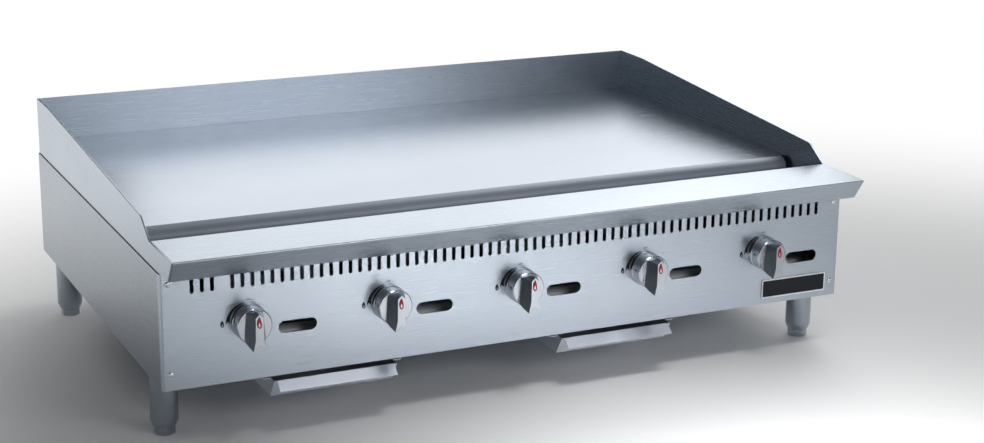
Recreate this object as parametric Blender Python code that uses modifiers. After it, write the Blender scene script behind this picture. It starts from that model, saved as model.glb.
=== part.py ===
"""Countertop gas griddle: a flat steel plate over five burners, in a stainless cabinet on four legs.

Sizes are in metres. X runs along the front, Y from the front to the back and Z up from the floor.
Places are measured from the front panel's outer face, at the middle of the cabinet's width. One
empty carries every piece, and stands so that the origin lies under the middle of the whole box.
"""
import math

import bmesh
import bpy
from mathutils import Matrix, Vector

# Cabinet
CABINET_WIDTH = 1.219
CABINET_DEPTH = 0.801
CABINET_HEIGHT = 0.187
SHEET = 0.0015
GAP = 0.0003
WELD = 0.00001
FRONT_RETURN = 0.020
SIDE_RETURN = 0.025
SIDE_FOOT_FLANGE = 0.050
SIDE_TOP_FLANGE = 0.025
REAR_FLANGE = 0.030

# Cooking plate and splash guards
PLATE_THICKNESS = 0.024
PLATE_NOSE_RADIUS = 0.009
PLATE_CORNER_WIDTH = 0.007
PLATE_CORNER_DEPTH = 0.022
SPLASH_SHEET = 0.003
SPLASH_INSET = 0.002
SPLASH_REAR_HEIGHT = 0.0776
SPLASH_FRONT_HEIGHT = 0.0415
SPLASH_LEVEL_LENGTH = 0.090
SPLASH_SLOPE_END = 0.045
SPLASH_CORNER_RADIUS = 0.012

# Front ledge and grease trough
LEDGE_SHEET = 0.002
LEDGE_RISE = 0.013
LEDGE_OVERHANG = 0.068
LEDGE_FOOT_OVERHANG = 0.042
LEDGE_BACK = 0.0546
LEDGE_HEM = 0.022
TROUGH_SHEET = 0.002
TROUGH_WIDTH = 0.1014
TROUGH_DEPTH = 0.035
TROUGH_UNDERCUT = 0.016
TROUGH_TOP_DROP = 0.004
CHUTE_WIDTH = 0.050
CHUTE_LENGTH = 0.040
CHUTE_OFFSET = 0.006
CHUTE_TIP_DROP = 0.004

# Front panel openings
VENT_END_SPACE = 0.0505
VENT_PITCH = 0.01597
VENT_WIDTH = 0.0064
VENT_HEIGHT = 0.030
VENT_DROP = 0.036
VENT_LEFT_OUT = 3
VIEW_SLOT_LENGTH = 0.063
VIEW_SLOT_HEIGHT = 0.020
VIEW_SLOT_OFFSET = 0.0795
VIEW_SLOT_DROP = 0.018
SLOT_END_STEPS = 8
VENT_END_STEPS = 3

# Burner row, shared by the knobs, stems, valves and pilots
BURNER_COUNT = 5
BURNER_LEFT_MARGIN = 0.1385
BURNER_RIGHT_MARGIN = 0.1565
BURNER_DROP = 0.091
BURNER_FRONT = 0.088
BURNER_REAR_SPACE = 0.040
BURNER_RADIUS = 0.019
BURNER_THROAT_RADIUS = 0.015
BURNER_MOUTH_RADIUS = 0.024
BURNER_WALL = 0.002
BURNER_FLARE = 0.060
BURNER_SHOULDER = 0.035
BURNER_PIN_RADIUS = 0.005
BURNER_PIN_LENGTH = 0.016
BURNER_STEPS = 12

# Control knobs and valve stems
KNOB_STAND_OFF = 0.0008
KNOB_BEZEL_RADIUS = 0.0288
KNOB_BEZEL_DEPTH = 0.009
KNOB_GROOVE = 0.0015
KNOB_SKIRT_RADIUS = 0.0283
KNOB_SKIRT_DEPTH = 0.030
KNOB_SKIRT_CHAMFER = 0.0015
KNOB_DEPTH = 0.054
KNOB_RIDGE_DEPTH = 0.037
KNOB_GRIP_ROOT = 0.002
KNOB_TIP = 0.0268
KNOB_FLARE_DROP = 0.0142
KNOB_FRONT_HALF = 0.0062
KNOB_FRONT_SHOULDER = 0.0212
KNOB_FRONT_FLARE_HALF = 0.0065
KNOB_FRONT_TAIL_HALF = 0.0105
KNOB_FRONT_TAIL = 0.0322
KNOB_FRONT_NOTCH = 0.0209
KNOB_RIDGE_HALF = 0.0115
KNOB_RIDGE_SHOULDER = 0.0235
KNOB_RIDGE_FLARE_HALF = 0.0124
KNOB_RIDGE_TAIL_HALF = 0.0132
KNOB_RIDGE_TAIL = 0.0275
KNOB_BASE_HALF = 0.0143
KNOB_BASE_SHOULDER = 0.022
KNOB_BASE_FLARE_HALF = 0.0175
KNOB_BASE_TAIL_HALF = 0.018
KNOB_BASE_TAIL = 0.0195
KNOB_BASE_NOTCH = 0.024
KNOB_STEPS = 24
STEM_RADIUS = 0.004
STEM_IN_KNOB = 0.022
STEM_IN_VALVE = 0.024
STEM_HOLE_RADIUS = 0.0065
HOLE_STEPS = 12

# Gas train
PIPE_RADIUS = 0.01335
PIPE_BORE = 0.0105
PIPE_SIDES = 16
MANIFOLD_Y = 0.050
MANIFOLD_DROP = 0.044
MANIFOLD_END_SPACE = 0.019
INLET_SIDE_SPACE = 0.0345
INLET_BEND_RADIUS = 0.030
INLET_LEAD = 0.012
INLET_PROJECTION = 0.027
INLET_BEND_STEPS = 5
INLET_BEVEL_RESOLUTION = 4
VALVE_RADIUS = 0.013
VALVE_FRONT_REACH = 0.016
VALVE_LENGTH = 0.036
VALVE_INLET_RADIUS = 0.008
HOOD_RADIUS = 0.008
HOOD_ROOT = 0.009
HOOD_REACH = 0.008
PILOT_RADIUS = 0.003
PILOT_OFFSET = 0.040
PILOT_RISE = 0.030
PILOT_REACH = 0.080
PILOT_BEND_RADIUS = 0.014
PILOT_BEND_STEPS = 5
PILOT_BEVEL_RESOLUTION = 1
SADDLE_INSET = 0.220
SADDLE_SHEET = 0.003
SADDLE_LENGTH = 0.030

# Inner supports
SUPPORT_SHEET = 0.002
FRONT_SUPPORT_SPACE = 0.027
FRONT_SUPPORT_WEB = 0.006
FRONT_SUPPORT_FOOT = 0.020
REAR_SUPPORT_HEIGHT = 0.032
PLATE_SUPPORT_SHEET = 0.003
PLATE_SUPPORT_WIDTH = 0.030
PLATE_SUPPORT_HEIGHT = 0.040
PLATE_SUPPORT_SPACE = 0.004
AIR_OPENING_SIDE_SPACE = 0.110
AIR_OPENING_FRONT = 0.330
AIR_OPENING_LENGTH = 0.290
CHUTE_HOLE_MARGIN = 0.004

# Drip trays and their rails
TRAY_OFFSETS = (0.0255, 0.0640)
TRAY_SHEET = 0.0012
TRAY_WIDTH = 0.206
TRAY_HEIGHT = 0.031
TRAY_TOP_DROP = 0.008
TRAY_FRONT_Y = 0.017
TRAY_FRONT_LEAN = 0.020
TRAY_LENGTH = 0.253
TRAY_FLANGE = 0.013
TRAY_FLANGE_FRONT = 0.012
TRAY_TRAVEL_CLEARANCE = 0.0008
PULL_LIP_WIDTH = 0.196
PULL_LIP_REACH = 0.016
PULL_LIP_DROP = 0.013
RAIL_SHEET = 0.0015
RAIL_LIP = 0.010
RAIL_TOP_FLANGE = 0.014
RAIL_OVERRUN = 0.010

# Legs and levelling feet
LEG_HEIGHT = 0.098
LEG_RADIUS = 0.0223
LEG_INSET = 0.0225
LEG_FRONT_Y = 0.078
LEG_REAR_SPACE = 0.098
LEG_TAPER_HEIGHT = 0.009
LEG_TIP_RADIUS = 0.0178
LEG_STUD_RADIUS = 0.006
LEG_STUD_LENGTH = 0.014
LEG_STEPS = 20
FOOT_HEIGHT = 0.013
FOOT_CORNER_RADIUS = 0.017
FOOT_SIDES = 6
FOOT_SHANK_RADIUS = 0.012
FOOT_SHANK_LENGTH = 0.050
FOOT_SHANK_SPARE = 0.004
FOOT_SHANK_STEPS = 20

# Badge and panel screws
BADGE_WIDTH = 0.130
BADGE_HEIGHT = 0.0335
BADGE_THICKNESS = 0.0012
BADGE_SIDE_SPACE = 0.0245
BADGE_RISE = 0.0105
SCREW_INSET = 0.014
SCREW_TOP_SPACE = 0.017
SCREW_FOOT_SPACE = 0.026
SCREW_HEAD_RADIUS = 0.0045
SCREW_HEAD_HEIGHT = 0.0022
SCREW_RIM_HEIGHT = 0.0007
SCREW_CROWN_RADIUS = 0.0027
SCREW_CROWN_DROP = 0.0003
SCREW_SHANK_RADIUS = 0.002
SCREW_LENGTH = 0.010
SCREW_STEPS = 12

# Levels that follow from the sizes above
HALF_WIDTH = CABINET_WIDTH / 2
CABINET_TOP = LEG_HEIGHT + CABINET_HEIGHT
PANEL_TOP = CABINET_TOP - GAP
SIDE_INNER = HALF_WIDTH - SHEET
SPLASH_OUTER = HALF_WIDTH - SPLASH_INSET
SPLASH_INNER = SPLASH_OUTER - SPLASH_SHEET
TOP_HALF = SPLASH_INNER - GAP
PLATE_TOP = CABINET_TOP + PLATE_THICKNESS
PLATE_FRONT = LEDGE_BACK + TROUGH_WIDTH
PLATE_REAR = CABINET_DEPTH - SPLASH_SHEET - GAP
SPLASH_TOP = PLATE_TOP + SPLASH_REAR_HEIGHT
SPLASH_FRONT_Z = PLATE_TOP + SPLASH_FRONT_HEIGHT
LEDGE_TOP = PLATE_TOP + LEDGE_RISE
LEDGE_UNDERSIDE = LEDGE_TOP - LEDGE_SHEET
TROUGH_FRONT = LEDGE_BACK + GAP
TROUGH_REAR = PLATE_FRONT + TROUGH_UNDERCUT
TROUGH_FLOOR = CABINET_TOP - TROUGH_DEPTH
FOOT_FLANGE_TOP = LEG_HEIGHT + SHEET
PAN_BOTTOM = FOOT_FLANGE_TOP + GAP
PAN_TOP = PAN_BOTTOM + SHEET
BURNER_Z = CABINET_TOP - BURNER_DROP
MANIFOLD_Z = BURNER_Z - MANIFOLD_DROP
BURNER_REAR = CABINET_DEPTH - BURNER_REAR_SPACE
FRONT_SUPPORT_Y = BURNER_FRONT + BURNER_FLARE + BURNER_SHOULDER + FRONT_SUPPORT_SPACE
REAR_SUPPORT_Y = BURNER_REAR + GAP
VALVE_FRONT = MANIFOLD_Y - VALVE_FRONT_REACH
VALVE_REAR = VALVE_FRONT + VALVE_LENGTH
KNOB_BACK_Y = -KNOB_STAND_OFF
INLET_X = HALF_WIDTH - INLET_SIDE_SPACE
ORIGIN_Y = (CABINET_DEPTH + INLET_PROJECTION - LEDGE_OVERHANG) / 2
TRAY_TOP = LEG_HEIGHT - TRAY_TOP_DROP
TRAY_BOTTOM = TRAY_TOP - TRAY_HEIGHT
RAIL_TOP = PAN_BOTTOM - GAP
RAIL_FRONT = FRONT_RETURN + GAP

# Turns of a flat outline: its own (x, y) plane becomes the plane named here
ALONG_X = Matrix(((0, 0, 1), (1, 0, 0), (0, 1, 0))).to_4x4()
ALONG_Y = Matrix(((1, 0, 0), (0, 0, -1), (0, 1, 0))).to_4x4()


def clear_scene():
    """Remove whatever the scene starts with."""
    for thing in list(bpy.data.objects):
        bpy.data.objects.remove(thing)


def new_collection(name):
    """A collection in the scene."""
    group = bpy.data.collections.new(name)
    bpy.context.scene.collection.children.link(group)
    return group


clear_scene()
PARTS = new_collection("flat_top_griddle")


def material(name, colour, roughness, metallic):
    """A plain finish for one kind of piece."""
    finish = bpy.data.materials.new(name)
    finish.use_nodes = True
    shader = finish.node_tree.nodes["Principled BSDF"]
    shader.inputs["Base Color"].default_value = (*colour, 1)
    shader.inputs["Roughness"].default_value = roughness
    shader.inputs["Metallic"].default_value = metallic
    return finish


FINISHES = {
    "stainless": material("stainless", (0.60, 0.64, 0.68), 0.35, 1.0),
    "plate_steel": material("plate_steel", (0.62, 0.65, 0.68), 0.22, 1.0),
    "chrome": material("chrome", (0.80, 0.82, 0.84), 0.10, 1.0),
    "dull_steel": material("dull_steel", (0.42, 0.44, 0.46), 0.50, 1.0),
    "cast_iron": material("cast_iron", (0.10, 0.10, 0.11), 0.70, 0.6),
    "brass": material("brass", (0.72, 0.56, 0.28), 0.35, 1.0),
    "aluminium": material("aluminium", (0.76, 0.77, 0.78), 0.40, 1.0),
    "badge_black": material("badge_black", (0.01, 0.01, 0.012), 0.35, 0.0),
}


def new_object(name, shape):
    """A mesh object from a bmesh."""
    mesh = bpy.data.meshes.new(name)
    shape.to_mesh(mesh)
    shape.free()
    piece = bpy.data.objects.new(name, mesh)
    PARTS.objects.link(piece)
    return piece


def evaluated_mesh(piece):
    """The piece's mesh with its modifiers or its curve's bevel applied."""
    bpy.context.view_layer.update()
    graph = bpy.context.evaluated_depsgraph_get()
    return bpy.data.meshes.new_from_object(piece.evaluated_get(graph))


def combine(piece, tool, operation):
    """Join the tool to the piece (UNION) or cut it away (DIFFERENCE), and remove the tool."""
    step = piece.modifiers.new("combine", "BOOLEAN")
    step.operation = operation
    step.solver = "EXACT"
    step.object = tool
    result = evaluated_mesh(piece)
    piece.modifiers.clear()
    piece.data = result
    bpy.data.objects.remove(tool)


def join(piece, *tools):
    """Join further solids to a piece."""
    for tool in tools:
        combine(piece, tool, "UNION")


def cut(piece, *tools):
    """Cut further solids out of a piece."""
    for tool in tools:
        combine(piece, tool, "DIFFERENCE")


def box(name, low, high):
    """A block between two corners, with its origin at its middle."""
    size = Vector(high) - Vector(low)
    shape = bmesh.new()
    bmesh.ops.create_cube(shape, size=1, matrix=Matrix.Diagonal((*size, 1)))
    piece = new_object(name, shape)
    piece.location = (Vector(high) + Vector(low)) / 2
    return piece


def cylinder(name, radius, start, end, steps):
    """A round bar between two points, with its origin at its middle."""
    run = Vector(end) - Vector(start)
    shape = bmesh.new()
    bmesh.ops.create_cone(
        shape, cap_ends=True, segments=steps, radius1=radius, radius2=radius, depth=run.length
    )
    piece = new_object(name, shape)
    turn = run.to_track_quat("Z", "Y").to_matrix().to_4x4()
    piece.matrix_world = Matrix.Translation((Vector(start) + Vector(end)) / 2) @ turn
    return piece


def curve_object(name, points, closed):
    """A curve through straight runs between the points."""
    curve = bpy.data.curves.new(name, "CURVE")
    spline = curve.splines.new("POLY")
    spline.points.add(len(points) - 1)
    for place, point in zip(spline.points, points):
        place.co = (*Vector(point).to_3d(), 1)
    spline.use_cyclic_u = closed
    piece = bpy.data.objects.new(name, curve)
    PARTS.objects.link(piece)
    return piece


def curve_to_solid(piece):
    """Turn a filled curve into a closed mesh in the same place."""
    mesh = evaluated_mesh(piece)
    shape = bmesh.new()
    shape.from_mesh(mesh)
    bmesh.ops.remove_doubles(shape, verts=shape.verts, dist=WELD)
    bmesh.ops.recalc_face_normals(shape, faces=shape.faces)
    name = piece.name
    bpy.data.objects.remove(piece)
    return new_object(name, shape)


def slab(name, outline, thickness, turn, middle):
    """A flat outline with a thickness, turned to its plane and set at its middle."""
    piece = curve_object(name, outline, True)
    piece.data.dimensions = "2D"
    piece.data.fill_mode = "BOTH"
    piece.data.extrude = thickness / 2
    solid = curve_to_solid(piece)
    solid.matrix_world = Matrix.Translation(middle) @ turn
    return solid


def tube(name, points, radius, resolution):
    """A round bar that follows the points."""
    piece = curve_object(name, points, False)
    piece.data.dimensions = "3D"
    piece.data.bevel_depth = radius
    piece.data.bevel_resolution = resolution
    piece.data.use_fill_caps = True
    return piece


def turned(name, profile, steps):
    """A turned solid: (radius, height) points, down the outer side, go round the local Z axis."""
    shape = bmesh.new()
    points = [shape.verts.new((radius, 0, height)) for radius, height in profile]
    for first, second in zip(points, points[1:]):
        shape.edges.new((first, second))
    piece = new_object(name, shape)
    turn = piece.modifiers.new("turn", "SCREW")
    turn.axis = "Z"
    turn.steps = steps
    turn.render_steps = steps
    turn.use_merge_vertices = True
    turn.merge_threshold = WELD
    turn.use_smooth_shade = True
    return piece


def folded(path, thickness):
    """The outline of a folded sheet: a path, and the same path moved to its left by the thickness."""
    runs = [(Vector(b) - Vector(a)).normalized() for a, b in zip(path, path[1:])]
    sides = [Vector((-run.y, run.x)) for run in runs]
    before = [sides[0]] + sides
    after = sides + [sides[-1]]
    moved = []
    for point, first, second in zip(path, before, after):
        moved.append(Vector(point) + (first + second) * thickness / (1 + first.dot(second)))
    return [Vector(point) for point in path] + moved[::-1]


def arc(middle, radius, start, end, steps):
    """Points of an arc, with its angles in degrees."""
    points = []
    for step in range(steps + 1):
        angle = math.radians(start + (end - start) * step / steps)
        points.append((middle[0] + radius * math.cos(angle), middle[1] + radius * math.sin(angle)))
    return points


def obround(middle, length, height, steps):
    """The outline of a slot with round ends, long along its first axis."""
    reach = (length - height) / 2
    right = arc((middle[0] + reach, middle[1]), height / 2, -90, 90, steps)
    left = arc((middle[0] - reach, middle[1]), height / 2, 90, 270, steps)
    return right + left


def burner_x(number):
    """The place of one burner, and of its knob and valve, along the front."""
    first = -HALF_WIDTH + BURNER_LEFT_MARGIN
    last = HALF_WIDTH - BURNER_RIGHT_MARGIN
    return first + (last - first) * number / (BURNER_COUNT - 1)


def chute_x(number):
    """The place of one drain chute, between two burners."""
    left = burner_x(2 * number)
    right = burner_x(2 * number + 1)
    return (left + right) / 2 + CHUTE_OFFSET


def tray_x(number):
    """The middle of one drip tray along the front."""
    return chute_x(number) - CHUTE_OFFSET + TRAY_OFFSETS[number]


def chute_y():
    """The middle of the drain chutes from the front."""
    return (TROUGH_FRONT + PLATE_FRONT) / 2


def leg_places():
    """The legs' middles: front left, front right, rear left, rear right."""
    across = HALF_WIDTH - LEG_INSET
    rear = CABINET_DEPTH - LEG_REAR_SPACE
    return [(side * across, y) for y in (LEG_FRONT_Y, rear) for side in (-1, 1)]


def screw_places():
    """The panel screws' middles on the front panel: left pair, then right pair."""
    across = HALF_WIDTH - SCREW_INSET
    heights = (LEG_HEIGHT + SCREW_FOOT_SPACE, CABINET_TOP - SCREW_TOP_SPACE)
    return [(side * across, z) for side in (-1, 1) for z in heights]


def panel_hole(name, x, z, radius, depth, steps):
    """A round cutter through the front, long enough for every sheet there."""
    return cylinder(name, radius, (x, -depth, z), (x, depth, z), steps)


def vent_cutter():
    """The row of upright vent slots under the ledge, with one place left out."""
    count = int((CABINET_WIDTH - 2 * VENT_END_SPACE) / VENT_PITCH) + 1
    first = -VENT_PITCH * (count - 1) / 2
    middle_z = CABINET_TOP - VENT_DROP + VENT_HEIGHT / 2
    shape = bmesh.new()
    for number in range(count):
        if number == VENT_LEFT_OUT:
            continue
        outline = obround((0, 0), VENT_HEIGHT, VENT_WIDTH, VENT_END_STEPS)
        x = first + VENT_PITCH * number
        slot = [shape.verts.new((x - b, -SHEET, middle_z + a)) for a, b in outline]
        face = shape.faces.new(slot)
        swept = bmesh.ops.extrude_face_region(shape, geom=[face])["geom"]
        moved = [item for item in swept if isinstance(item, bmesh.types.BMVert)]
        bmesh.ops.translate(shape, verts=moved, vec=(0, 3 * SHEET, 0))
    bmesh.ops.recalc_face_normals(shape, faces=shape.faces)
    return new_object("vent_cutter", shape)


def front_panel():
    """The front panel: a sheet with folded top and foot, vents, viewing slots and holes."""
    top = LEDGE_UNDERSIDE - GAP
    path = [(FRONT_RETURN, top), (0, top), (0, LEG_HEIGHT), (FRONT_RETURN, LEG_HEIGHT)]
    panel = slab("front_panel", folded(path, SHEET), CABINET_WIDTH, ALONG_X, (0, 0, 0))
    rear = FRONT_RETURN + SHEET
    for side in (-1, 1):
        edges = sorted((side * TOP_HALF, side * (HALF_WIDTH + SHEET)))
        cut(panel, box("top_corner_cutter", (edges[0], -SHEET, PANEL_TOP), (edges[1], rear, LEDGE_TOP)))
        edges = sorted((side * (SIDE_INNER - GAP), side * (HALF_WIDTH + SHEET)))
        low = (edges[0], SHEET, LEG_HEIGHT - SHEET)
        cut(panel, box("foot_corner_cutter", low, (edges[1], rear, LEG_HEIGHT + 2 * SHEET)))
    cut(panel, vent_cutter())
    for number in range(BURNER_COUNT):
        x = burner_x(number)
        cut(panel, panel_hole("stem_cutter", x, BURNER_Z, STEM_HOLE_RADIUS, 2 * SHEET, HOLE_STEPS))
        middle = (x + VIEW_SLOT_OFFSET, BURNER_Z - VIEW_SLOT_DROP)
        outline = obround(middle, VIEW_SLOT_LENGTH, VIEW_SLOT_HEIGHT, SLOT_END_STEPS)
        cut(panel, slab("view_cutter", outline, 4 * SHEET, ALONG_Y, (0, 0, 0)))
    for x, z in screw_places():
        hole = SCREW_SHANK_RADIUS + GAP
        cut(panel, panel_hole("screw_cutter", x, z, hole, 2 * SHEET, HOLE_STEPS))
    return panel


def side_panel(name, side):
    """A side panel: a sheet with a front return, a foot flange for the legs and a plate flange."""
    front = SHEET + GAP
    inside = side * (SIDE_INNER + SHEET / 2)
    rear = CABINET_DEPTH - REAR_FLANGE - GAP

    def flange(label, width, y_range, z_range):
        edges = sorted((inside, side * (HALF_WIDTH - width)))
        return box(label, (edges[0], y_range[0], z_range[0]), (edges[1], y_range[1], z_range[1]))

    faces = sorted((side * SIDE_INNER, side * HALF_WIDTH))
    panel = box(name, (faces[0], front, LEG_HEIGHT), (faces[1], CABINET_DEPTH, PANEL_TOP))
    return_heights = (PAN_TOP + GAP, PANEL_TOP - SHEET)
    join(panel, flange("front_return", SIDE_RETURN, (front, front + SHEET), return_heights))
    foot_run = (FRONT_RETURN + GAP, rear)
    join(panel, flange("foot_flange", SIDE_FOOT_FLANGE, foot_run, (LEG_HEIGHT, FOOT_FLANGE_TOP)))
    plate_run = (TROUGH_REAR + SHEET, rear)
    join(panel, flange("plate_flange", SIDE_TOP_FLANGE, plate_run, (PANEL_TOP - SHEET, PANEL_TOP)))
    for x, y in leg_places():
        if x * side > 0:
            hole = LEG_STUD_RADIUS + GAP
            below = (x, y, LEG_HEIGHT - SHEET)
            cut(panel, cylinder("stud_cutter", hole, below, (x, y, PAN_TOP), HOLE_STEPS))
    for x, z in screw_places():
        if x * side > 0:
            hole = SCREW_SHANK_RADIUS + GAP
            cut(panel, panel_hole("screw_cutter", x, z, hole, SCREW_LENGTH, HOLE_STEPS))
    return panel


def rear_panel():
    """The rear panel, folded forward at the top and foot, with the gas pipe's hole."""
    front = CABINET_DEPTH - REAR_FLANGE
    path = [
        (front, LEG_HEIGHT),
        (CABINET_DEPTH, LEG_HEIGHT),
        (CABINET_DEPTH, PANEL_TOP),
        (front, PANEL_TOP),
    ]
    panel = slab("rear_panel", folded(path, SHEET), 2 * (SIDE_INNER - GAP), ALONG_X, (0, 0, 0))
    start = (INLET_X, CABINET_DEPTH - 3 * SHEET, MANIFOLD_Z)
    end = (INLET_X, CABINET_DEPTH + SHEET, MANIFOLD_Z)
    cut(panel, cylinder("pipe_cutter", PIPE_RADIUS + GAP, start, end, PIPE_SIDES))
    return panel


def base_pan():
    """The pan on the foot flanges: chute and stud holes, an air opening and two saddles for the manifold."""
    half = SIDE_INNER - GAP
    front = 2 * SHEET + 2 * GAP
    rear = CABINET_DEPTH - SHEET - GAP
    pan = box("base_pan", (-half, front, PAN_BOTTOM), (half, rear, PAN_TOP))
    for side in (-1, 1):
        x = side * (HALF_WIDTH - SADDLE_INSET)
        low = (x - SADDLE_SHEET / 2, MANIFOLD_Y - SADDLE_LENGTH / 2, PAN_BOTTOM + SHEET / 2)
        high = (x + SADDLE_SHEET / 2, MANIFOLD_Y + SADDLE_LENGTH / 2, MANIFOLD_Z)
        join(pan, box("saddle", low, high))
    rest = PIPE_RADIUS + GAP
    start = (-half, MANIFOLD_Y, MANIFOLD_Z)
    end = (half, MANIFOLD_Y, MANIFOLD_Z)
    cut(pan, cylinder("pipe_cutter", rest, start, end, PIPE_SIDES))
    below = PAN_BOTTOM - SHEET
    above = PAN_TOP + SHEET
    for number in range(len(TRAY_OFFSETS)):
        across = CHUTE_WIDTH / 2 + CHUTE_HOLE_MARGIN
        along = CHUTE_LENGTH / 2 + CHUTE_HOLE_MARGIN
        low = (chute_x(number) - across, chute_y() - along, below)
        high = (chute_x(number) + across, chute_y() + along, above)
        cut(pan, box("chute_cutter", low, high))
    for x, y in leg_places():
        cut(pan, cylinder("stud_cutter", LEG_STUD_RADIUS + GAP, (x, y, below), (x, y, above), HOLE_STEPS))
    reach = HALF_WIDTH - AIR_OPENING_SIDE_SPACE
    low = (-reach, AIR_OPENING_FRONT, below)
    cut(pan, box("air_cutter", low, (reach, AIR_OPENING_FRONT + AIR_OPENING_LENGTH, above)))
    return pan


def griddle_plate():
    """The cooking plate, with a rounded front edge and set-back front corners."""
    nose_z = PLATE_TOP - PLATE_NOSE_RADIUS
    nose = arc((PLATE_FRONT + PLATE_NOSE_RADIUS, nose_z), PLATE_NOSE_RADIUS, 90, 180, SLOT_END_STEPS)
    outline = [(PLATE_REAR, CABINET_TOP), (PLATE_REAR, PLATE_TOP)] + nose + [(PLATE_FRONT, CABINET_TOP)]
    plate = slab("griddle_plate", outline, 2 * TOP_HALF, ALONG_X, (0, 0, 0))
    for side in (-1, 1):
        edges = sorted((side * (TOP_HALF - PLATE_CORNER_WIDTH), side * (TOP_HALF + SHEET)))
        low = (edges[0], PLATE_FRONT - SHEET, CABINET_TOP - SHEET)
        high = (edges[1], PLATE_FRONT + PLATE_CORNER_DEPTH, PLATE_TOP + SHEET)
        cut(plate, box("corner_cutter", low, high))
    return plate


def splash_corner():
    """The rounded front corner of a side splash, between its long slope and its drop to the ledge."""
    corner = Vector((LEDGE_BACK + SPLASH_SLOPE_END, SPLASH_FRONT_Z))
    back = (Vector((CABINET_DEPTH - SPLASH_LEVEL_LENGTH, SPLASH_TOP)) - corner).normalized()
    front = (Vector((LEDGE_BACK, LEDGE_TOP)) - corner).normalized()
    half_angle = back.angle(front) / 2
    middle = corner + (back + front).normalized() * SPLASH_CORNER_RADIUS / math.sin(half_angle)
    start = math.degrees(math.atan2(back.x, -back.y)) % 360
    end = math.degrees(math.atan2(-front.x, front.y)) % 360
    return arc(middle, SPLASH_CORNER_RADIUS, start, end, SLOT_END_STEPS)


def side_splash(name, side):
    """A side splash guard, whose front end closes the ledge's end."""
    outline = [
        (CABINET_DEPTH, CABINET_TOP),
        (CABINET_DEPTH, SPLASH_TOP),
        (CABINET_DEPTH - SPLASH_LEVEL_LENGTH, SPLASH_TOP),
        *splash_corner(),
        (LEDGE_BACK, LEDGE_TOP),
        (-LEDGE_OVERHANG, LEDGE_TOP),
        (-LEDGE_FOOT_OVERHANG, CABINET_TOP),
    ]
    middle = side * (SPLASH_INNER + SPLASH_OUTER) / 2
    return slab(name, outline, SPLASH_SHEET, ALONG_X, (middle, 0, 0))


def rear_splash():
    """The rear splash guard, between the side guards."""
    low = (-TOP_HALF, CABINET_DEPTH - SPLASH_SHEET, CABINET_TOP)
    return box("rear_splash", low, (TOP_HALF, CABINET_DEPTH, SPLASH_TOP))


def front_ledge():
    """The ledge over the front panel: a folded sheet with a sloping front face."""
    path = [
        (LEDGE_BACK, LEDGE_TOP - LEDGE_HEM),
        (LEDGE_BACK, LEDGE_TOP),
        (-LEDGE_OVERHANG, LEDGE_TOP),
        (-LEDGE_FOOT_OVERHANG, CABINET_TOP),
        (-GAP, CABINET_TOP),
    ]
    return slab("front_ledge", folded(path, LEDGE_SHEET), 2 * TOP_HALF, ALONG_X, (0, 0, 0))


def grease_trough():
    """The trough between ledge and plate, with closed ends and a drain chute over each drip tray."""
    top = LEDGE_TOP - TROUGH_TOP_DROP
    path = [
        (TROUGH_FRONT, top),
        (TROUGH_FRONT, TROUGH_FLOOR),
        (TROUGH_REAR, TROUGH_FLOOR),
        (TROUGH_REAR, PANEL_TOP),
    ]
    trough = slab("grease_trough", folded(path, TROUGH_SHEET), 2 * TOP_HALF, ALONG_X, (0, 0, 0))
    inset = TROUGH_SHEET / 2
    for side in (-1, 1):
        edges = sorted((side * TOP_HALF, side * (TOP_HALF - TROUGH_SHEET)))
        low = (edges[0], TROUGH_FRONT + inset, TROUGH_FLOOR + inset)
        high = (edges[1], TROUGH_REAR - inset, PANEL_TOP)
        join(trough, box("end_wall", low, high))
    tip = LEG_HEIGHT - CHUTE_TIP_DROP
    for number in range(len(TRAY_OFFSETS)):
        across = CHUTE_WIDTH / 2
        along = CHUTE_LENGTH / 2
        low = (chute_x(number) - across, chute_y() - along, tip)
        high = (chute_x(number) + across, chute_y() + along, TROUGH_FLOOR + inset)
        join(trough, box("chute", low, high))
        low = (low[0] + TROUGH_SHEET, low[1] + TROUGH_SHEET, tip - TROUGH_SHEET)
        high = (high[0] - TROUGH_SHEET, high[1] - TROUGH_SHEET, TROUGH_FLOOR + 2 * TROUGH_SHEET)
        cut(trough, box("drain_cutter", low, high))
    return trough


def plate_front_support():
    """The angle under the plate's front edge, between the side panels' flanges."""
    front = TROUGH_REAR + PLATE_SUPPORT_SPACE
    rear = front + PLATE_SUPPORT_WIDTH
    foot = PANEL_TOP - PLATE_SUPPORT_HEIGHT
    half = HALF_WIDTH - SIDE_TOP_FLANGE - GAP
    path = [(rear, foot), (rear, PANEL_TOP), (front, PANEL_TOP)]
    return slab("plate_front_support", folded(path, PLATE_SUPPORT_SHEET), 2 * half, ALONG_X, (0, 0, 0))


def burner_front_support():
    """The cross bar with a half-round saddle under each burner."""
    foot = BURNER_Z - BURNER_RADIUS - FRONT_SUPPORT_WEB
    path = [
        (FRONT_SUPPORT_Y, BURNER_Z),
        (FRONT_SUPPORT_Y, foot),
        (FRONT_SUPPORT_Y + FRONT_SUPPORT_FOOT, foot),
    ]
    half = SIDE_INNER - GAP
    bar = slab("burner_front_support", folded(path, SUPPORT_SHEET), 2 * half, ALONG_X, (0, 0, 0))
    for number in range(BURNER_COUNT):
        start = (burner_x(number), FRONT_SUPPORT_Y - SUPPORT_SHEET, BURNER_Z)
        end = (burner_x(number), FRONT_SUPPORT_Y + 2 * SUPPORT_SHEET, BURNER_Z)
        cut(bar, cylinder("saddle_cutter", BURNER_RADIUS + GAP, start, end, BURNER_STEPS))
    return bar


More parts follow.
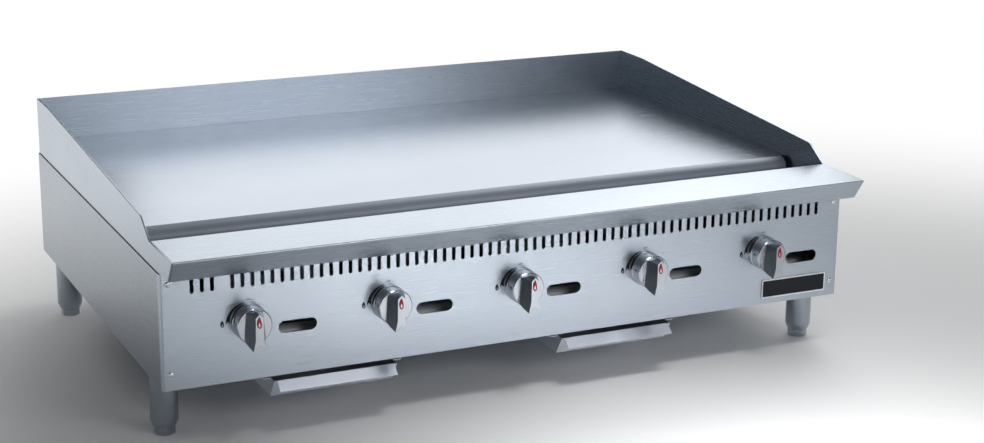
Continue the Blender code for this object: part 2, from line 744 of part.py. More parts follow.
def burner_rear_support():
    """The cross bar whose holes hold the pins at the burners' rear ends."""
    half = SIDE_INNER - GAP
    low = (-half, REAR_SUPPORT_Y, BURNER_Z - REAR_SUPPORT_HEIGHT / 2)
    high = (half, REAR_SUPPORT_Y + SUPPORT_SHEET, BURNER_Z + REAR_SUPPORT_HEIGHT / 2)
    bar = box("burner_rear_support", low, high)
    for number in range(BURNER_COUNT):
        start = (burner_x(number), REAR_SUPPORT_Y - SUPPORT_SHEET, BURNER_Z)
        end = (burner_x(number), REAR_SUPPORT_Y + 2 * SUPPORT_SHEET, BURNER_Z)
        cut(bar, cylinder("pin_cutter", BURNER_PIN_RADIUS + GAP, start, end, BURNER_STEPS))
    return bar


def burner(number):
    """A tube burner: an open flared mouth at the front, a closed rear end and a locating pin."""
    length = BURNER_REAR - BURNER_FRONT
    shoulder = length - BURNER_FLARE - BURNER_SHOULDER
    throat = length - BURNER_FLARE
    profile = [
        (0, BURNER_WALL),
        (BURNER_RADIUS - BURNER_WALL, BURNER_WALL),
        (BURNER_RADIUS - BURNER_WALL, shoulder),
        (BURNER_THROAT_RADIUS - BURNER_WALL, throat),
        (BURNER_MOUTH_RADIUS - BURNER_WALL, length),
        (BURNER_MOUTH_RADIUS, length),
        (BURNER_THROAT_RADIUS, throat),
        (BURNER_RADIUS, shoulder),
        (BURNER_RADIUS, 0),
        (BURNER_PIN_RADIUS, 0),
        (BURNER_PIN_RADIUS, -BURNER_PIN_LENGTH),
        (0, -BURNER_PIN_LENGTH),
    ]
    piece = turned(f"burner_{number + 1}", profile, BURNER_STEPS)
    piece.matrix_world = Matrix.Translation((burner_x(number), BURNER_REAR, BURNER_Z)) @ ALONG_Y
    return piece


def gas_valve(number):
    """A valve: a round body with its inlet on the manifold, a gas hood and a bore for the stem."""
    x = burner_x(number)
    start = (x, VALVE_FRONT, BURNER_Z)
    end = (x, VALVE_REAR, BURNER_Z)
    body = cylinder(f"gas_valve_{number + 1}", VALVE_RADIUS, start, end, BURNER_STEPS)
    foot = (x, MANIFOLD_Y, MANIFOLD_Z + PIPE_RADIUS + GAP)
    inlet = cylinder("inlet", VALVE_INLET_RADIUS, foot, (x, MANIFOLD_Y, BURNER_Z), BURNER_STEPS)
    hood_start = (x, VALVE_REAR - HOOD_ROOT, BURNER_Z)
    hood = cylinder("hood", HOOD_RADIUS, hood_start, (x, BURNER_FRONT + HOOD_REACH, BURNER_Z), BURNER_STEPS)
    join(body, inlet, hood)
    bore_end = (x, VALVE_FRONT + STEM_IN_VALVE + GAP, BURNER_Z)
    bore = cylinder("bore", STEM_RADIUS + GAP, (x, VALVE_FRONT - SHEET, BURNER_Z), bore_end, BURNER_STEPS)
    cut(body, bore)
    return body


def valve_stem(number):
    """The shaft that turns with the knob, with its origin on the knob's axis."""
    front = KNOB_BACK_Y - STEM_IN_KNOB
    length = VALVE_FRONT + STEM_IN_VALVE - front
    profile = [(0, 0), (STEM_RADIUS, 0), (STEM_RADIUS, -length), (0, -length)]
    piece = turned(f"valve_stem_{number + 1}", profile, BURNER_STEPS)
    piece.matrix_world = Matrix.Translation((burner_x(number), front, BURNER_Z)) @ ALONG_Y
    return piece


def grip_section(shoulder, flare, tail, notch):
    """One section of the knob's grip, seen from the front: an arrow with a flared and notched tail."""
    right = [shoulder, flare, tail]
    left = [(-x, y) for x, y in reversed(right)]
    return [(0, KNOB_TIP)] + right + [(0, notch)] + left


def knob_grip():
    """The knob's grip: a blade that narrows to a ridge and then to its front face."""
    base = grip_section(
        (KNOB_BASE_HALF, KNOB_BASE_SHOULDER),
        (KNOB_BASE_FLARE_HALF, -KNOB_FLARE_DROP),
        (KNOB_BASE_TAIL_HALF, -KNOB_BASE_TAIL),
        -KNOB_BASE_NOTCH,
    )
    ridge = grip_section(
        (KNOB_RIDGE_HALF, KNOB_RIDGE_SHOULDER),
        (KNOB_RIDGE_FLARE_HALF, -KNOB_FLARE_DROP),
        (KNOB_RIDGE_TAIL_HALF, -KNOB_RIDGE_TAIL),
        -KNOB_BASE_NOTCH,
    )
    front = grip_section(
        (KNOB_FRONT_HALF, KNOB_FRONT_SHOULDER),
        (KNOB_FRONT_FLARE_HALF, -KNOB_FLARE_DROP),
        (KNOB_FRONT_TAIL_HALF, -KNOB_FRONT_TAIL),
        -KNOB_FRONT_NOTCH,
    )
    heights = (KNOB_SKIRT_DEPTH - KNOB_GRIP_ROOT, KNOB_RIDGE_DEPTH, KNOB_DEPTH)
    shape = bmesh.new()
    rings = []
    for section, height in zip((base, ridge, front), heights):
        rings.append([shape.verts.new((x, y, height)) for x, y in section])
    shape.faces.new(rings[0])
    shape.faces.new(rings[-1])
    count = len(base)
    for lower, upper in zip(rings, rings[1:]):
        for place in range(count):
            after = (place + 1) % count
            shape.faces.new((lower[place], lower[after], upper[after], upper[place]))
    bmesh.ops.recalc_face_normals(shape, faces=shape.faces)
    return new_object("grip", shape)


def control_knob(number):
    """A knob: a round skirt with a bezel ring behind it, a grip blade and a bore for the stem."""
    groove = KNOB_SKIRT_RADIUS - KNOB_GROOVE
    profile = [
        (0, KNOB_SKIRT_DEPTH),
        (KNOB_SKIRT_RADIUS - KNOB_SKIRT_CHAMFER, KNOB_SKIRT_DEPTH),
        (KNOB_SKIRT_RADIUS, KNOB_SKIRT_DEPTH - KNOB_SKIRT_CHAMFER),
        (KNOB_SKIRT_RADIUS, KNOB_BEZEL_DEPTH + KNOB_GROOVE),
        (groove, KNOB_BEZEL_DEPTH + KNOB_GROOVE),
        (groove, KNOB_BEZEL_DEPTH),
        (KNOB_BEZEL_RADIUS, KNOB_BEZEL_DEPTH),
        (KNOB_BEZEL_RADIUS, 0),
        (0, 0),
    ]
    knob = turned(f"control_knob_{number + 1}", profile, KNOB_STEPS)
    join(knob, knob_grip())
    end = (0, 0, STEM_IN_KNOB + GAP)
    cut(knob, cylinder("bore", STEM_RADIUS + GAP, (0, 0, -SHEET), end, BURNER_STEPS))
    knob.matrix_world = Matrix.Translation((burner_x(number), KNOB_BACK_Y, BURNER_Z)) @ ALONG_Y
    return knob


def pilot_tube(number):
    """A pilot tube: it rises from the manifold beside the burner and bends back to light it."""
    x = burner_x(number) + PILOT_OFFSET
    foot = MANIFOLD_Z + PIPE_RADIUS + GAP
    top = foot + PILOT_RISE
    middle = (MANIFOLD_Y + PILOT_BEND_RADIUS, top - PILOT_BEND_RADIUS)
    bend = arc(middle, PILOT_BEND_RADIUS, 180, 90, PILOT_BEND_STEPS)
    points = [(x, MANIFOLD_Y, foot)] + [(x, y, z) for y, z in bend] + [(x, MANIFOLD_Y + PILOT_REACH, top)]
    return curve_to_solid(tube(f"pilot_tube_{number + 1}", points, PILOT_RADIUS, PILOT_BEVEL_RESOLUTION))


def gas_manifold():
    """The manifold pipe behind the front panel, closed at its left end."""
    left = -HALF_WIDTH + MANIFOLD_END_SPACE
    right = INLET_X - INLET_BEND_RADIUS - INLET_LEAD - GAP
    start = (left, MANIFOLD_Y, MANIFOLD_Z)
    end = (right, MANIFOLD_Y, MANIFOLD_Z)
    pipe = cylinder("gas_manifold", PIPE_RADIUS, start, end, PIPE_SIDES)
    start = (left + PIPE_RADIUS, MANIFOLD_Y, MANIFOLD_Z)
    end = (right + SHEET, MANIFOLD_Y, MANIFOLD_Z)
    cut(pipe, cylinder("bore", PIPE_BORE, start, end, PIPE_SIDES))
    return pipe


def inlet_route(spare):
    """The inlet pipe's middle line: from the manifold's end, round a bend and out at the back."""
    bend_x = INLET_X - INLET_BEND_RADIUS
    start = (bend_x - INLET_LEAD - spare, MANIFOLD_Y)
    bend = arc((bend_x, MANIFOLD_Y + INLET_BEND_RADIUS), INLET_BEND_RADIUS, -90, 0, INLET_BEND_STEPS)
    end = (INLET_X, CABINET_DEPTH + INLET_PROJECTION + spare)
    run = [start] + bend + [end]
    return [(x, y, MANIFOLD_Z) for x, y in run]


def gas_inlet_pipe():
    """The bent pipe that brings gas in through the rear panel."""
    pipe = curve_to_solid(tube("gas_inlet_pipe", inlet_route(0), PIPE_RADIUS, INLET_BEVEL_RESOLUTION))
    cut(pipe, curve_to_solid(tube("bore", inlet_route(SHEET), PIPE_BORE, INLET_BEVEL_RESOLUTION)))
    return pipe


def tray_front(z):
    """The outer face of a drip tray's leaning front wall at one height."""
    return TRAY_FRONT_Y - TRAY_FRONT_LEAN * (z - TRAY_BOTTOM) / TRAY_HEIGHT


def pull_lip():
    """The pull lip: the sheet folded forward and down from the top of a tray's front wall."""
    inset = TRAY_SHEET / 2
    height = TRAY_TOP - inset
    fold = Vector((tray_front(height), height))
    tip = fold - Vector((PULL_LIP_REACH, PULL_LIP_DROP))
    root = fold + (fold - tip).normalized() * inset
    return slab("pull_lip", folded([tip, root], TRAY_SHEET), PULL_LIP_WIDTH, ALONG_X, (0, 0, 0))


def drip_tray(number):
    """A drip tray: a pan with a leaning front wall, side flanges on the rails and a pull lip."""
    half = TRAY_WIDTH / 2
    rear = TRAY_FRONT_Y + TRAY_LENGTH
    inset = TRAY_SHEET / 2
    rim = TRAY_TOP + inset
    floor = TRAY_BOTTOM + TRAY_SHEET
    over = TRAY_TOP + TRAY_SHEET
    wall = TRAY_SHEET * math.hypot(1, TRAY_FRONT_LEAN / TRAY_HEIGHT)
    outside = [(tray_front(TRAY_BOTTOM), TRAY_BOTTOM), (rear, TRAY_BOTTOM), (rear, rim), (tray_front(rim), rim)]
    inner_rear = rear - TRAY_SHEET
    inside = [
        (tray_front(floor) + wall, floor),
        (inner_rear, floor),
        (inner_rear, over),
        (tray_front(over) + wall, over),
    ]
    tray = slab(f"drip_tray_{number + 1}", outside, TRAY_WIDTH, ALONG_X, (0, 0, 0))
    cut(tray, slab("tray_space", inside, TRAY_WIDTH - 2 * TRAY_SHEET, ALONG_X, (0, 0, 0)))
    for side in (-1, 1):
        edges = sorted((side * (half - inset), side * (half + TRAY_FLANGE)))
        low = (edges[0], TRAY_FLANGE_FRONT, TRAY_TOP)
        join(tray, box("flange", low, (edges[1], rear - inset, over)))
    join(tray, pull_lip())
    tray.location.x += tray_x(number)
    return tray


def tray_rail(number, label, side):
    """A rail under the base pan, whose inner lip carries a tray's side flange."""
    web = TRAY_WIDTH / 2 + TRAY_FLANGE + TRAY_TRAVEL_CLEARANCE + RAIL_SHEET
    lip_bottom = TRAY_TOP - GAP - RAIL_SHEET
    path = [
        (web - RAIL_LIP, lip_bottom),
        (web, lip_bottom),
        (web, RAIL_TOP),
        (web - RAIL_TOP_FLANGE, RAIL_TOP),
    ]
    outline = folded(path, RAIL_SHEET)
    rear = TRAY_FRONT_Y + TRAY_LENGTH + RAIL_OVERRUN
    middle = (tray_x(number), (RAIL_FRONT + rear) / 2, 0)
    sided = [(side * x, z) for x, z in outline]
    return slab(f"tray_rail_{number + 1}_{label}", sided, rear - RAIL_FRONT, ALONG_Y, middle)


def leg(number, place):
    """A round leg: a stud through the cabinet's foot, a tapered tip and a bore for the foot."""
    bore = FOOT_SHANK_RADIUS + GAP
    bottom = FOOT_HEIGHT + GAP
    top = LEG_HEIGHT - GAP
    profile = [
        (0, top + LEG_STUD_LENGTH),
        (LEG_STUD_RADIUS, top + LEG_STUD_LENGTH),
        (LEG_STUD_RADIUS, top),
        (LEG_RADIUS, top),
        (LEG_RADIUS, bottom + LEG_TAPER_HEIGHT),
        (LEG_TIP_RADIUS, bottom),
        (bore, bottom),
        (bore, FOOT_HEIGHT + FOOT_SHANK_LENGTH + FOOT_SHANK_SPARE),
        (0, FOOT_HEIGHT + FOOT_SHANK_LENGTH + FOOT_SHANK_SPARE),
    ]
    piece = turned(f"leg_{number + 1}", profile, LEG_STEPS)
    piece.location = (*place, 0)
    return piece


def levelling_foot(number, place):
    """A hexagonal foot with a shank that screws into the leg."""
    name = f"levelling_foot_{number + 1}"
    foot = cylinder(name, FOOT_CORNER_RADIUS, (0, 0, 0), (0, 0, FOOT_HEIGHT), FOOT_SIDES)
    start = (0, 0, FOOT_HEIGHT / 2)
    end = (0, 0, FOOT_HEIGHT + FOOT_SHANK_LENGTH)
    join(foot, cylinder("shank", FOOT_SHANK_RADIUS, start, end, FOOT_SHANK_STEPS))
    foot.location.x += place[0]
    foot.location.y += place[1]
    return foot


def badge_plate():
    """The bare badge plate at the front panel's lower right."""
    right = HALF_WIDTH - BADGE_SIDE_SPACE
    foot = LEG_HEIGHT + BADGE_RISE
    low = (right - BADGE_WIDTH, -GAP - BADGE_THICKNESS, foot)
    return box("badge_plate", low, (right, -GAP, foot + BADGE_HEIGHT))


def panel_screw(number, place):
    """A round-headed screw through the front panel into the side panel's return."""
    profile = [
        (0, SCREW_HEAD_HEIGHT),
        (SCREW_CROWN_RADIUS, SCREW_HEAD_HEIGHT - SCREW_CROWN_DROP),
        (SCREW_HEAD_RADIUS, SCREW_RIM_HEIGHT),
        (SCREW_HEAD_RADIUS, 0),
        (SCREW_SHANK_RADIUS, 0),
        (SCREW_SHANK_RADIUS, -SCREW_LENGTH),
        (0, -SCREW_LENGTH),
    ]
    piece = turned(f"panel_screw_{number + 1}", profile, SCREW_STEPS)
    piece.matrix_world = Matrix.Translation((place[0], -GAP, place[1])) @ ALONG_Y
    return piece


def finish(piece, name):
    """Give a piece its finish."""
    piece.data.materials.clear()
    piece.data.materials.append(FINISHES[name])


def make_cabinet():
    """The cabinet, its inner supports and what shows on its front."""
    pieces = [front_panel(), side_panel("left_side_panel", -1), side_panel("right_side_panel", 1)]
    pieces += [rear_panel(), base_pan(), plate_front_support()]
    pieces += [burner_front_support(), burner_rear_support()]
    for piece in pieces:
        finish(piece, "stainless")
    finish(badge_plate(), "badge_black")
    for number, place in enumerate(screw_places()):
        finish(panel_screw(number, place), "dull_steel")


def make_top():
    """The cooking plate and the sheet metal around it."""
    finish(griddle_plate(), "plate_steel")
    pieces = [side_splash("left_splash", -1), side_splash("right_splash", 1), rear_splash()]
    pieces += [front_ledge(), grease_trough()]
    for piece in pieces:
        finish(piece, "stainless")


def make_gas_train():
    """Burners, valves, stems, knobs, pilots and pipes."""
    for number in range(BURNER_COUNT):
        finish(burner(number), "cast_iron")
        finish(gas_valve(number), "brass")
        finish(valve_stem(number), "dull_steel")
        finish(control_knob(number), "chrome")
        finish(pilot_tube(number), "aluminium")
    finish(gas_manifold(), "dull_steel")
    finish(gas_inlet_pipe(), "dull_steel")


def make_trays_and_legs():
    """Drip trays on their rails, and legs with their feet."""
    for number in range(len(TRAY_OFFSETS)):
        finish(drip_tray(number), "stainless")
        finish(tray_rail(number, "left", -1), "stainless")
        finish(tray_rail(number, "right", 1), "stainless")
    for number, place in enumerate(leg_places()):
        finish(leg(number, place), "stainless")
        finish(levelling_foot(number, place), "stainless")


def carry_all():
    """Hang every piece on one empty that centres the whole box over the origin."""
    carrier = bpy.data.objects.new("griddle_frame", None)
    carrier.location = (0, -ORIGIN_Y, 0)
    bpy.context.scene.collection.objects.link(carrier)
    for piece in PARTS.objects:
        piece.parent = carrier


make_cabinet()
make_top()
make_gas_train()
make_trays_and_legs()
carry_all()
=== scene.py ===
"""A dressed countertop gas griddle: brushed sheet metal, a ground steel plate, chrome knobs and printed marks.

Lengths are in metres. X runs along the front, Y from the front to the back and Z up from the floor.
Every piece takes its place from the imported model's nodes.
"""
import math

import bmesh
import bpy
from mathutils import Matrix, Vector

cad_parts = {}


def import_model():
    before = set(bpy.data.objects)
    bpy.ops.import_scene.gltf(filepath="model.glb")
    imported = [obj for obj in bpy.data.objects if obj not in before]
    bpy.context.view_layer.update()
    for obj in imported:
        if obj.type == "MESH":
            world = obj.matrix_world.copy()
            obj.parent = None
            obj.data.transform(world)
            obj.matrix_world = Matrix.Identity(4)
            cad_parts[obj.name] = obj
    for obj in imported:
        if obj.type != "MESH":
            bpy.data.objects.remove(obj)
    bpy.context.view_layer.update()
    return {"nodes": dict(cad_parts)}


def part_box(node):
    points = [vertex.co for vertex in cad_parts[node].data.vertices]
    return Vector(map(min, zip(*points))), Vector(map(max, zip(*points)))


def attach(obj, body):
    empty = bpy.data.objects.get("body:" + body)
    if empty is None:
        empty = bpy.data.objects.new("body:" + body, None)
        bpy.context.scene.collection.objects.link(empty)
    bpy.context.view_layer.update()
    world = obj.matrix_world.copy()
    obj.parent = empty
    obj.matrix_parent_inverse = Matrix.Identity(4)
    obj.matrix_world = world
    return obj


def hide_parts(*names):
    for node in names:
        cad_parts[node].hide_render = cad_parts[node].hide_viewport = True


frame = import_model()

# Counts
KNOBS = 5
TRAYS = 2
LEGS = 4

# Merging and rounding
WELD = 0.00001
FLAT_ANGLE = math.radians(0.5)
SHARP_ANGLE = math.radians(35)
EDGE_SEGMENTS = 2

# Front panel
SHEET = 0.0015
CLEARANCE = 0.0003
CORNER_RADIUS = 0.005
SIDE_BEND = 0.0022
CORNER_RETURN = 0.009
PANEL_RETURN = 0.020
BEND_STEPS = 6
ROUND_PROFILE = 0.5
PANEL_EDGE = 0.00025
HEM_HEIGHT = 0.007
HEM_END_SPACE = 0.002
VENT_COUNT = 71
VENT_LEFT_OUT = 3
VENT_PITCH = 0.01597
VENT_WIDTH = 0.0064
VENT_HEIGHT = 0.030
VENT_MIDDLE_Z = 0.264
VIEW_SLOT_LENGTH = 0.063
VIEW_SLOT_HEIGHT = 0.020
VIEW_SLOT_OFFSET = 0.0795
VIEW_SLOT_DROP = 0.018
STEM_HOLE = 0.013
SLOT_STEPS = 8
CUT_DEPTH = 0.006
TRAY_EDGE = 0.0003

# Front ledge
LEDGE_SHEET = 0.002
LEDGE_FOOT_OVERHANG = 0.042
LEDGE_HEM = 0.022
LEDGE_BEND = 0.0018
GUARD_EDGE = 0.0005

# Cooking plate
PLATE_NOSE = 0.020
NOSE_STEPS = 16
PLATE_EDGE = 0.0008
PLATE_NOTCH_WIDTH = 0.007
PLATE_NOTCH_LENGTH = 0.022

# Knobs
KNOB_STEPS = 72
KNOB_EDGE = 0.0005
BEZEL_RADIUS = 0.0288
BEZEL_DEPTH = 0.009
BEZEL_EDGE = 0.001
KNOB_GROOVE = 0.0012
SKIRT_RADIUS = 0.0283
SKIRT_DEPTH = 0.030
SKIRT_CHAMFER = 0.0015
GRIP_ROOT = 0.028
RIDGE_DEPTH = 0.037
KNOB_DEPTH = 0.054
GRIP_TIP = 0.0268
FLARE_DROP = 0.0142
# The grip's sections from its root to its face: shoulder, flare, tail, and how low the tail's notch is.
GRIP_SECTIONS = (
    ((0.0143, 0.0220), (0.0175, -FLARE_DROP), (0.0180, -0.0195), 0.0240),
    ((0.0115, 0.0235), (0.0124, -FLARE_DROP), (0.0132, -0.0275), 0.0240),
    ((0.0062, 0.0212), (0.0065, -FLARE_DROP), (0.0105, -0.0322), 0.0209),
)
FLANK_LEAN = 0.7

# Flames. A drop is left open in each: its share of the flame's width and height, and how far it sinks.
INLAY = 0.00012
FLAME_WIDTH = 0.0100
FLAME_HEIGHT = 0.0190
FLAME_RISE = 0.0138
FLAME_STEPS = 14
FLAME_DROP = (0.36, 0.40, 0.0035)
FLAME_FULLNESS = 0.92
FLAME_SWELLING = 0.5
FLAME_NARROWING = 0.8
FLAME_LEAN = 0.16

# Panel marks
PRINT_THICKNESS = 0.0001
CRESCENT_RADIUS = 0.0298
CRESCENT_WIDTH = 0.0070
CRESCENT_POINT = 0.0005
CRESCENT_TAIL = 0.0032
CRESCENT_START = 183
CRESCENT_END = 103
CRESCENT_STEPS = 24
CRESCENT_SWELLING = 0.8
GLYPH_OFFSET = 0.0415
GLYPH_HEIGHT = 0.0115
GLYPH_WIDTH = 0.0078
GLYPH_STEPS = 12
GLYPH_DROP = (0.28, 0.34, 0.0022)
OFF_RISE = 0.0345
OFF_HEIGHT = 0.0042

# Legs and feet
LEG_STEPS = 64
LEG_STUD = 0.006
LEG_EDGE = 0.0006
LEG_TIP_INSET = 0.0045
LEG_TIP_EASE = 0.0004
LEG_TIP_START = 0.0105
LEG_TIP_TURN = 0.0090
LEG_BORE = 0.0123
LEG_BORE_DEPTH = 0.0537
FOOT_HEIGHT = 0.013
FOOT_CHAMFER = 0.0012
FOOT_CUT = 0.02
CONE_PAST_FLATS = 0.0003
CONE_PAST_CORNERS = 0.0006
SHANK_RADIUS = 0.012
SHANK_SINK = 0.001
THREAD_PITCH = 0.0025
THREAD_DEPTH = 0.0011
THREAD_SIDES = 28
THREAD_STEPS = 4
THREAD_SHARP_ANGLE = math.radians(25)

# Badge, screws and pipes. A screw's shank and crown are shares of its head's radius, its rim of the head's height.
BADGE_CORNER = 0.0028
BADGE_BORDER = 0.0023
BADGE_FACE = 0.0002
SCREW_STEPS = 32
SCREW_SHANK = 0.45
SCREW_CROWN = 1.9
SCREW_CROWN_END = 64
SCREW_RIM = 0.34
RECESS_LENGTH = 0.0052
RECESS_WIDTH = 0.0011
RECESS_DEPTH = 0.0012
PIPE_SIDES = 40
PIPE_BORE = 0.79
INLET_BEND = 0.030
INLET_BEND_STEPS = 12

# Stage and light
FLOOR_HALF = 12
FLOOR_COLOUR = (0.95, 0.95, 0.95, 1)
FLOOR_ROUGHNESS = 0.9
FLOOR_SHINE = 0.1
FLOOR_WHITE_CENTRE = (0.3, -0.6, 0)
FLOOR_WHITE_FROM = 1.0
FLOOR_WHITE_AT = 2.2
HORIZON_LOW = 0.07
HORIZON_HIGH = 0.13
STUDIO_LEVEL = 0.12
CEILING_LOW = 0.55
CEILING_HIGH = 0.95
CEILING_LEVEL = 0.18
STUDIO_COLOUR = (0.97, 0.985, 1.0, 1)
# Each lamp's name, place, target, size, power in watts and spread in degrees
LAMPS = (
    ("overhead_soft_box", (1.9, 1.3, 2.5), (0.3, 0.1, 0), (2.2, 2.2), 34, 180),
    ("back_soft_box", (1.45, 2.9, 1.5), (0, 0, 0.3), (2.6, 1.3), 16.5, 180),
    ("front_soft_box", (0.7, -2.4, 1.1), (0, 0.2, 0.3), (1.3, 0.5), 9, 180),
    ("floor_soft_box", (0.1, -1.5, 1.9), (0.15, -1.15, 0), (0.7, 0.9), 4.4, 42),
)

# Camera
LENS = 72.43
SENSOR = 36
CAMERA_PLACE = (-1.3519, -3.1328, 1.1911)
CAMERA_HEADING = math.radians(-25.12)
CAMERA_TILT = math.radians(73.77)
CAMERA_ROLL = math.radians(0.66)

# Flat outlines are drawn in their own XY plane. This turns them to face the front.
FACING_FRONT = Matrix(((1, 0, 0), (0, 0, -1), (0, 1, 0))).to_4x4()
# And this stands them across the width, with their X pointing to the back and their Y up.
ACROSS_WIDTH = Matrix(((0, 0, 1), (1, 0, 0), (0, 1, 0))).to_4x4()


# Making and dressing pieces


def new_piece(name, shape):
    """An object at the origin from a bmesh."""
    mesh = bpy.data.meshes.new(name)
    shape.to_mesh(mesh)
    shape.free()
    piece = bpy.data.objects.new(name, mesh)
    bpy.context.scene.collection.objects.link(piece)
    return piece


def settle(piece):
    """Turn a piece and its modifiers, or a curve, into a plain mesh at the origin."""
    bpy.context.view_layer.update()
    graph = bpy.context.evaluated_depsgraph_get()
    mesh = bpy.data.meshes.new_from_object(piece.evaluated_get(graph))
    name = piece.name
    bpy.data.objects.remove(piece)
    settled = bpy.data.objects.new(name, mesh)
    bpy.context.scene.collection.objects.link(settled)
    return settled


def weld(piece, outward=False):
    """Merge the points that meet, and turn the faces outward where asked."""
    shape = bmesh.new()
    shape.from_mesh(piece.data)
    bmesh.ops.remove_doubles(shape, verts=shape.verts, dist=WELD)
    if outward:
        bmesh.ops.recalc_face_normals(shape, faces=shape.faces)
    shape.to_mesh(piece.data)
    shape.free()
    return piece


def place(piece, matrix):
    """Move a piece by moving its mesh."""
    piece.data.transform(matrix)
    return piece


def combine(piece, tool, operation):
    """Join a tool to a piece, cut it away or keep what both hold, and remove the tool."""
    step = piece.modifiers.new("combine", "BOOLEAN")
    step.operation = operation
    step.solver = "EXACT"
    step.object = tool
    result = settle(piece)
    bpy.data.objects.remove(tool)
    return result


def smooth(piece, angle=SHARP_ANGLE):
    """Shade a piece smooth, apart from its sharp edges."""
    for face in piece.data.polygons:
        face.use_smooth = True
    piece.data.set_sharp_from_angle(angle=angle)


def round_edges(piece, width):
    """Round a piece's sharp edges, and shade its curved faces smooth."""
    for face in piece.data.polygons:
        face.use_smooth = True
    bevel = piece.modifiers.new("rounded_edges", "BEVEL")
    bevel.width = width
    bevel.segments = EDGE_SEGMENTS
    bevel.limit_method = "ANGLE"
    bevel.angle_limit = SHARP_ANGLE
    flats = piece.modifiers.new("flat_faces_stay_flat", "WEIGHTED_NORMAL")
    flats.keep_sharp = True
    return piece


def bend_edges(piece, low, high):
    """Bend a piece's edges that lie between two corners as sheet is bent, with a small round radius."""
    shape = bmesh.new()
    shape.from_mesh(piece.data)
    bmesh.ops.remove_doubles(shape, verts=shape.verts, dist=WELD)
    bends = []
    for edge in shape.edges:
        ends = [point.co for point in edge.verts]
        if all(low[axis] <= end[axis] <= high[axis] for end in ends for axis in range(3)):
            bends.append(edge)
    bmesh.ops.bevel(shape, geom=bends, offset=SIDE_BEND, segments=BEND_STEPS, profile=ROUND_PROFILE, affect="EDGES")
    shape.to_mesh(piece.data)
    shape.free()


def merged_copy(name, node):
    """A copy of a node whose points, and facets in one plane, are merged."""
    shape = bmesh.new()
    shape.from_mesh(frame["nodes"][node].data)
    bmesh.ops.remove_doubles(shape, verts=shape.verts, dist=WELD)
    bmesh.ops.dissolve_limit(shape, angle_limit=FLAT_ANGLE, verts=shape.verts, edges=shape.edges)
    return new_piece(name, shape)


def skin(node, edge):
    """A merged copy of a node with its edges rounded."""
    return round_edges(merged_copy(f"{node}_skin", node), edge)


def dress(piece, finish, slot, body, *nodes):
    """Give a piece its finish, and let it stand for its nodes and move with its body. Its slot is not used."""
    piece.data.materials.clear()
    piece.data.materials.append(finish)
    if nodes:
        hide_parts(*nodes)
    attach(piece, body)
    return piece


# Shapes


def arc(middle, radius, start, end, steps):
    """Points of an arc, with its angles in degrees."""
    points = []
    for step in range(steps + 1):
        angle = math.radians(start + (end - start) * step / steps)
        points.append((middle[0] + radius * math.cos(angle), middle[1] + radius * math.sin(angle)))
    return points


def rounded_box(width, height, radius):
    """The outline of a rectangle with round corners, about its middle."""
    across = width / 2 - radius
    up = height / 2 - radius
    corners = ((across, up, 0), (-across, up, 90), (-across, -up, 180), (across, -up, 270))
    points = []
    for x, y, start in corners:
        points += arc((x, y), radius, start, start + 90, BEND_STEPS)
    return points


def flat_solid(name, outlines, thickness):
    """A flat solid from outlines in the XY plane: the first, with the others cut out of it."""
    curve = bpy.data.curves.new(name, "CURVE")
    curve.dimensions = "2D"
    curve.fill_mode = "BOTH"
    curve.extrude = thickness / 2
    for outline in outlines:
        spline = curve.splines.new("POLY")
        spline.points.add(len(outline) - 1)
        for point, (x, y) in zip(spline.points, outline):
            point.co = (x, y, 0, 1)
        spline.use_cyclic_u = True
    piece = bpy.data.objects.new(name, curve)
    bpy.context.scene.collection.objects.link(piece)
    return weld(settle(piece), outward=True)


def block(name, low, high):
    """A cutting or joining block between two corners."""
    size = Vector(high) - Vector(low)
    shape = bmesh.new()
    bmesh.ops.create_cube(shape, size=1, matrix=Matrix.Diagonal((*size, 1)))
    return place(new_piece(name, shape), Matrix.Translation((Vector(low) + Vector(high)) / 2))


def join_rings(shape, rings):
    """Make the faces between each ring of points and the next, and turn them all outward."""
    for first, second in zip(rings, rings[1:]):
        for step in range(len(first)):
            after = (step + 1) % len(first)
            corners = (first[step], first[after], second[after], second[step])
            shape.faces.new(dict.fromkeys(corners))
    bmesh.ops.recalc_face_normals(shape, faces=shape.faces)


def turned(name, profile, steps):
    """A turned solid from (radius, height) points about its own Z axis, from its top to its foot."""
    shape = bmesh.new()
    rings = []
    for radius, height in profile:
        if radius == 0:
            rings.append([shape.verts.new((0, 0, height))] * steps)
            continue
        ring = []
        for step in range(steps):
            angle = math.tau * step / steps
            ring.append(shape.verts.new((radius * math.cos(angle), radius * math.sin(angle), height)))
        rings.append(ring)
    join_rings(shape, rings)
    return new_piece(name, shape)


def lofted(name, sections, heights):
    """A solid through flat sections of equal count, each at its height."""
    shape = bmesh.new()
    rings = [
        [shape.verts.new((x, y, height)) for x, y in section]
        for section, height in zip(sections, heights)
    ]
    shape.faces.new(rings[0])
    shape.faces.new(rings[-1])
    join_rings(shape, rings)
    return new_piece(name, shape)


def bent_path(path, radius):
    """A flat path whose inner corners are rounded."""
    points = [Vector(path[0])]
    for before, corner, after in zip(path, path[1:], path[2:]):
        back = (Vector(before) - Vector(corner)).normalized()
        ahead = (Vector(after) - Vector(corner)).normalized()
        half = back.angle(ahead) / 2
        middle = Vector(corner) + (back + ahead).normalized() * radius / math.sin(half)
        start = Vector(corner) + back * radius / math.tan(half) - middle
        end = Vector(corner) + ahead * radius / math.tan(half) - middle
        turn = start.angle_signed(end)
        for step in range(BEND_STEPS + 1):
            points.append(middle + Matrix.Rotation(-turn * step / BEND_STEPS, 2) @ start)
    points.append(Vector(path[-1]))
    return points


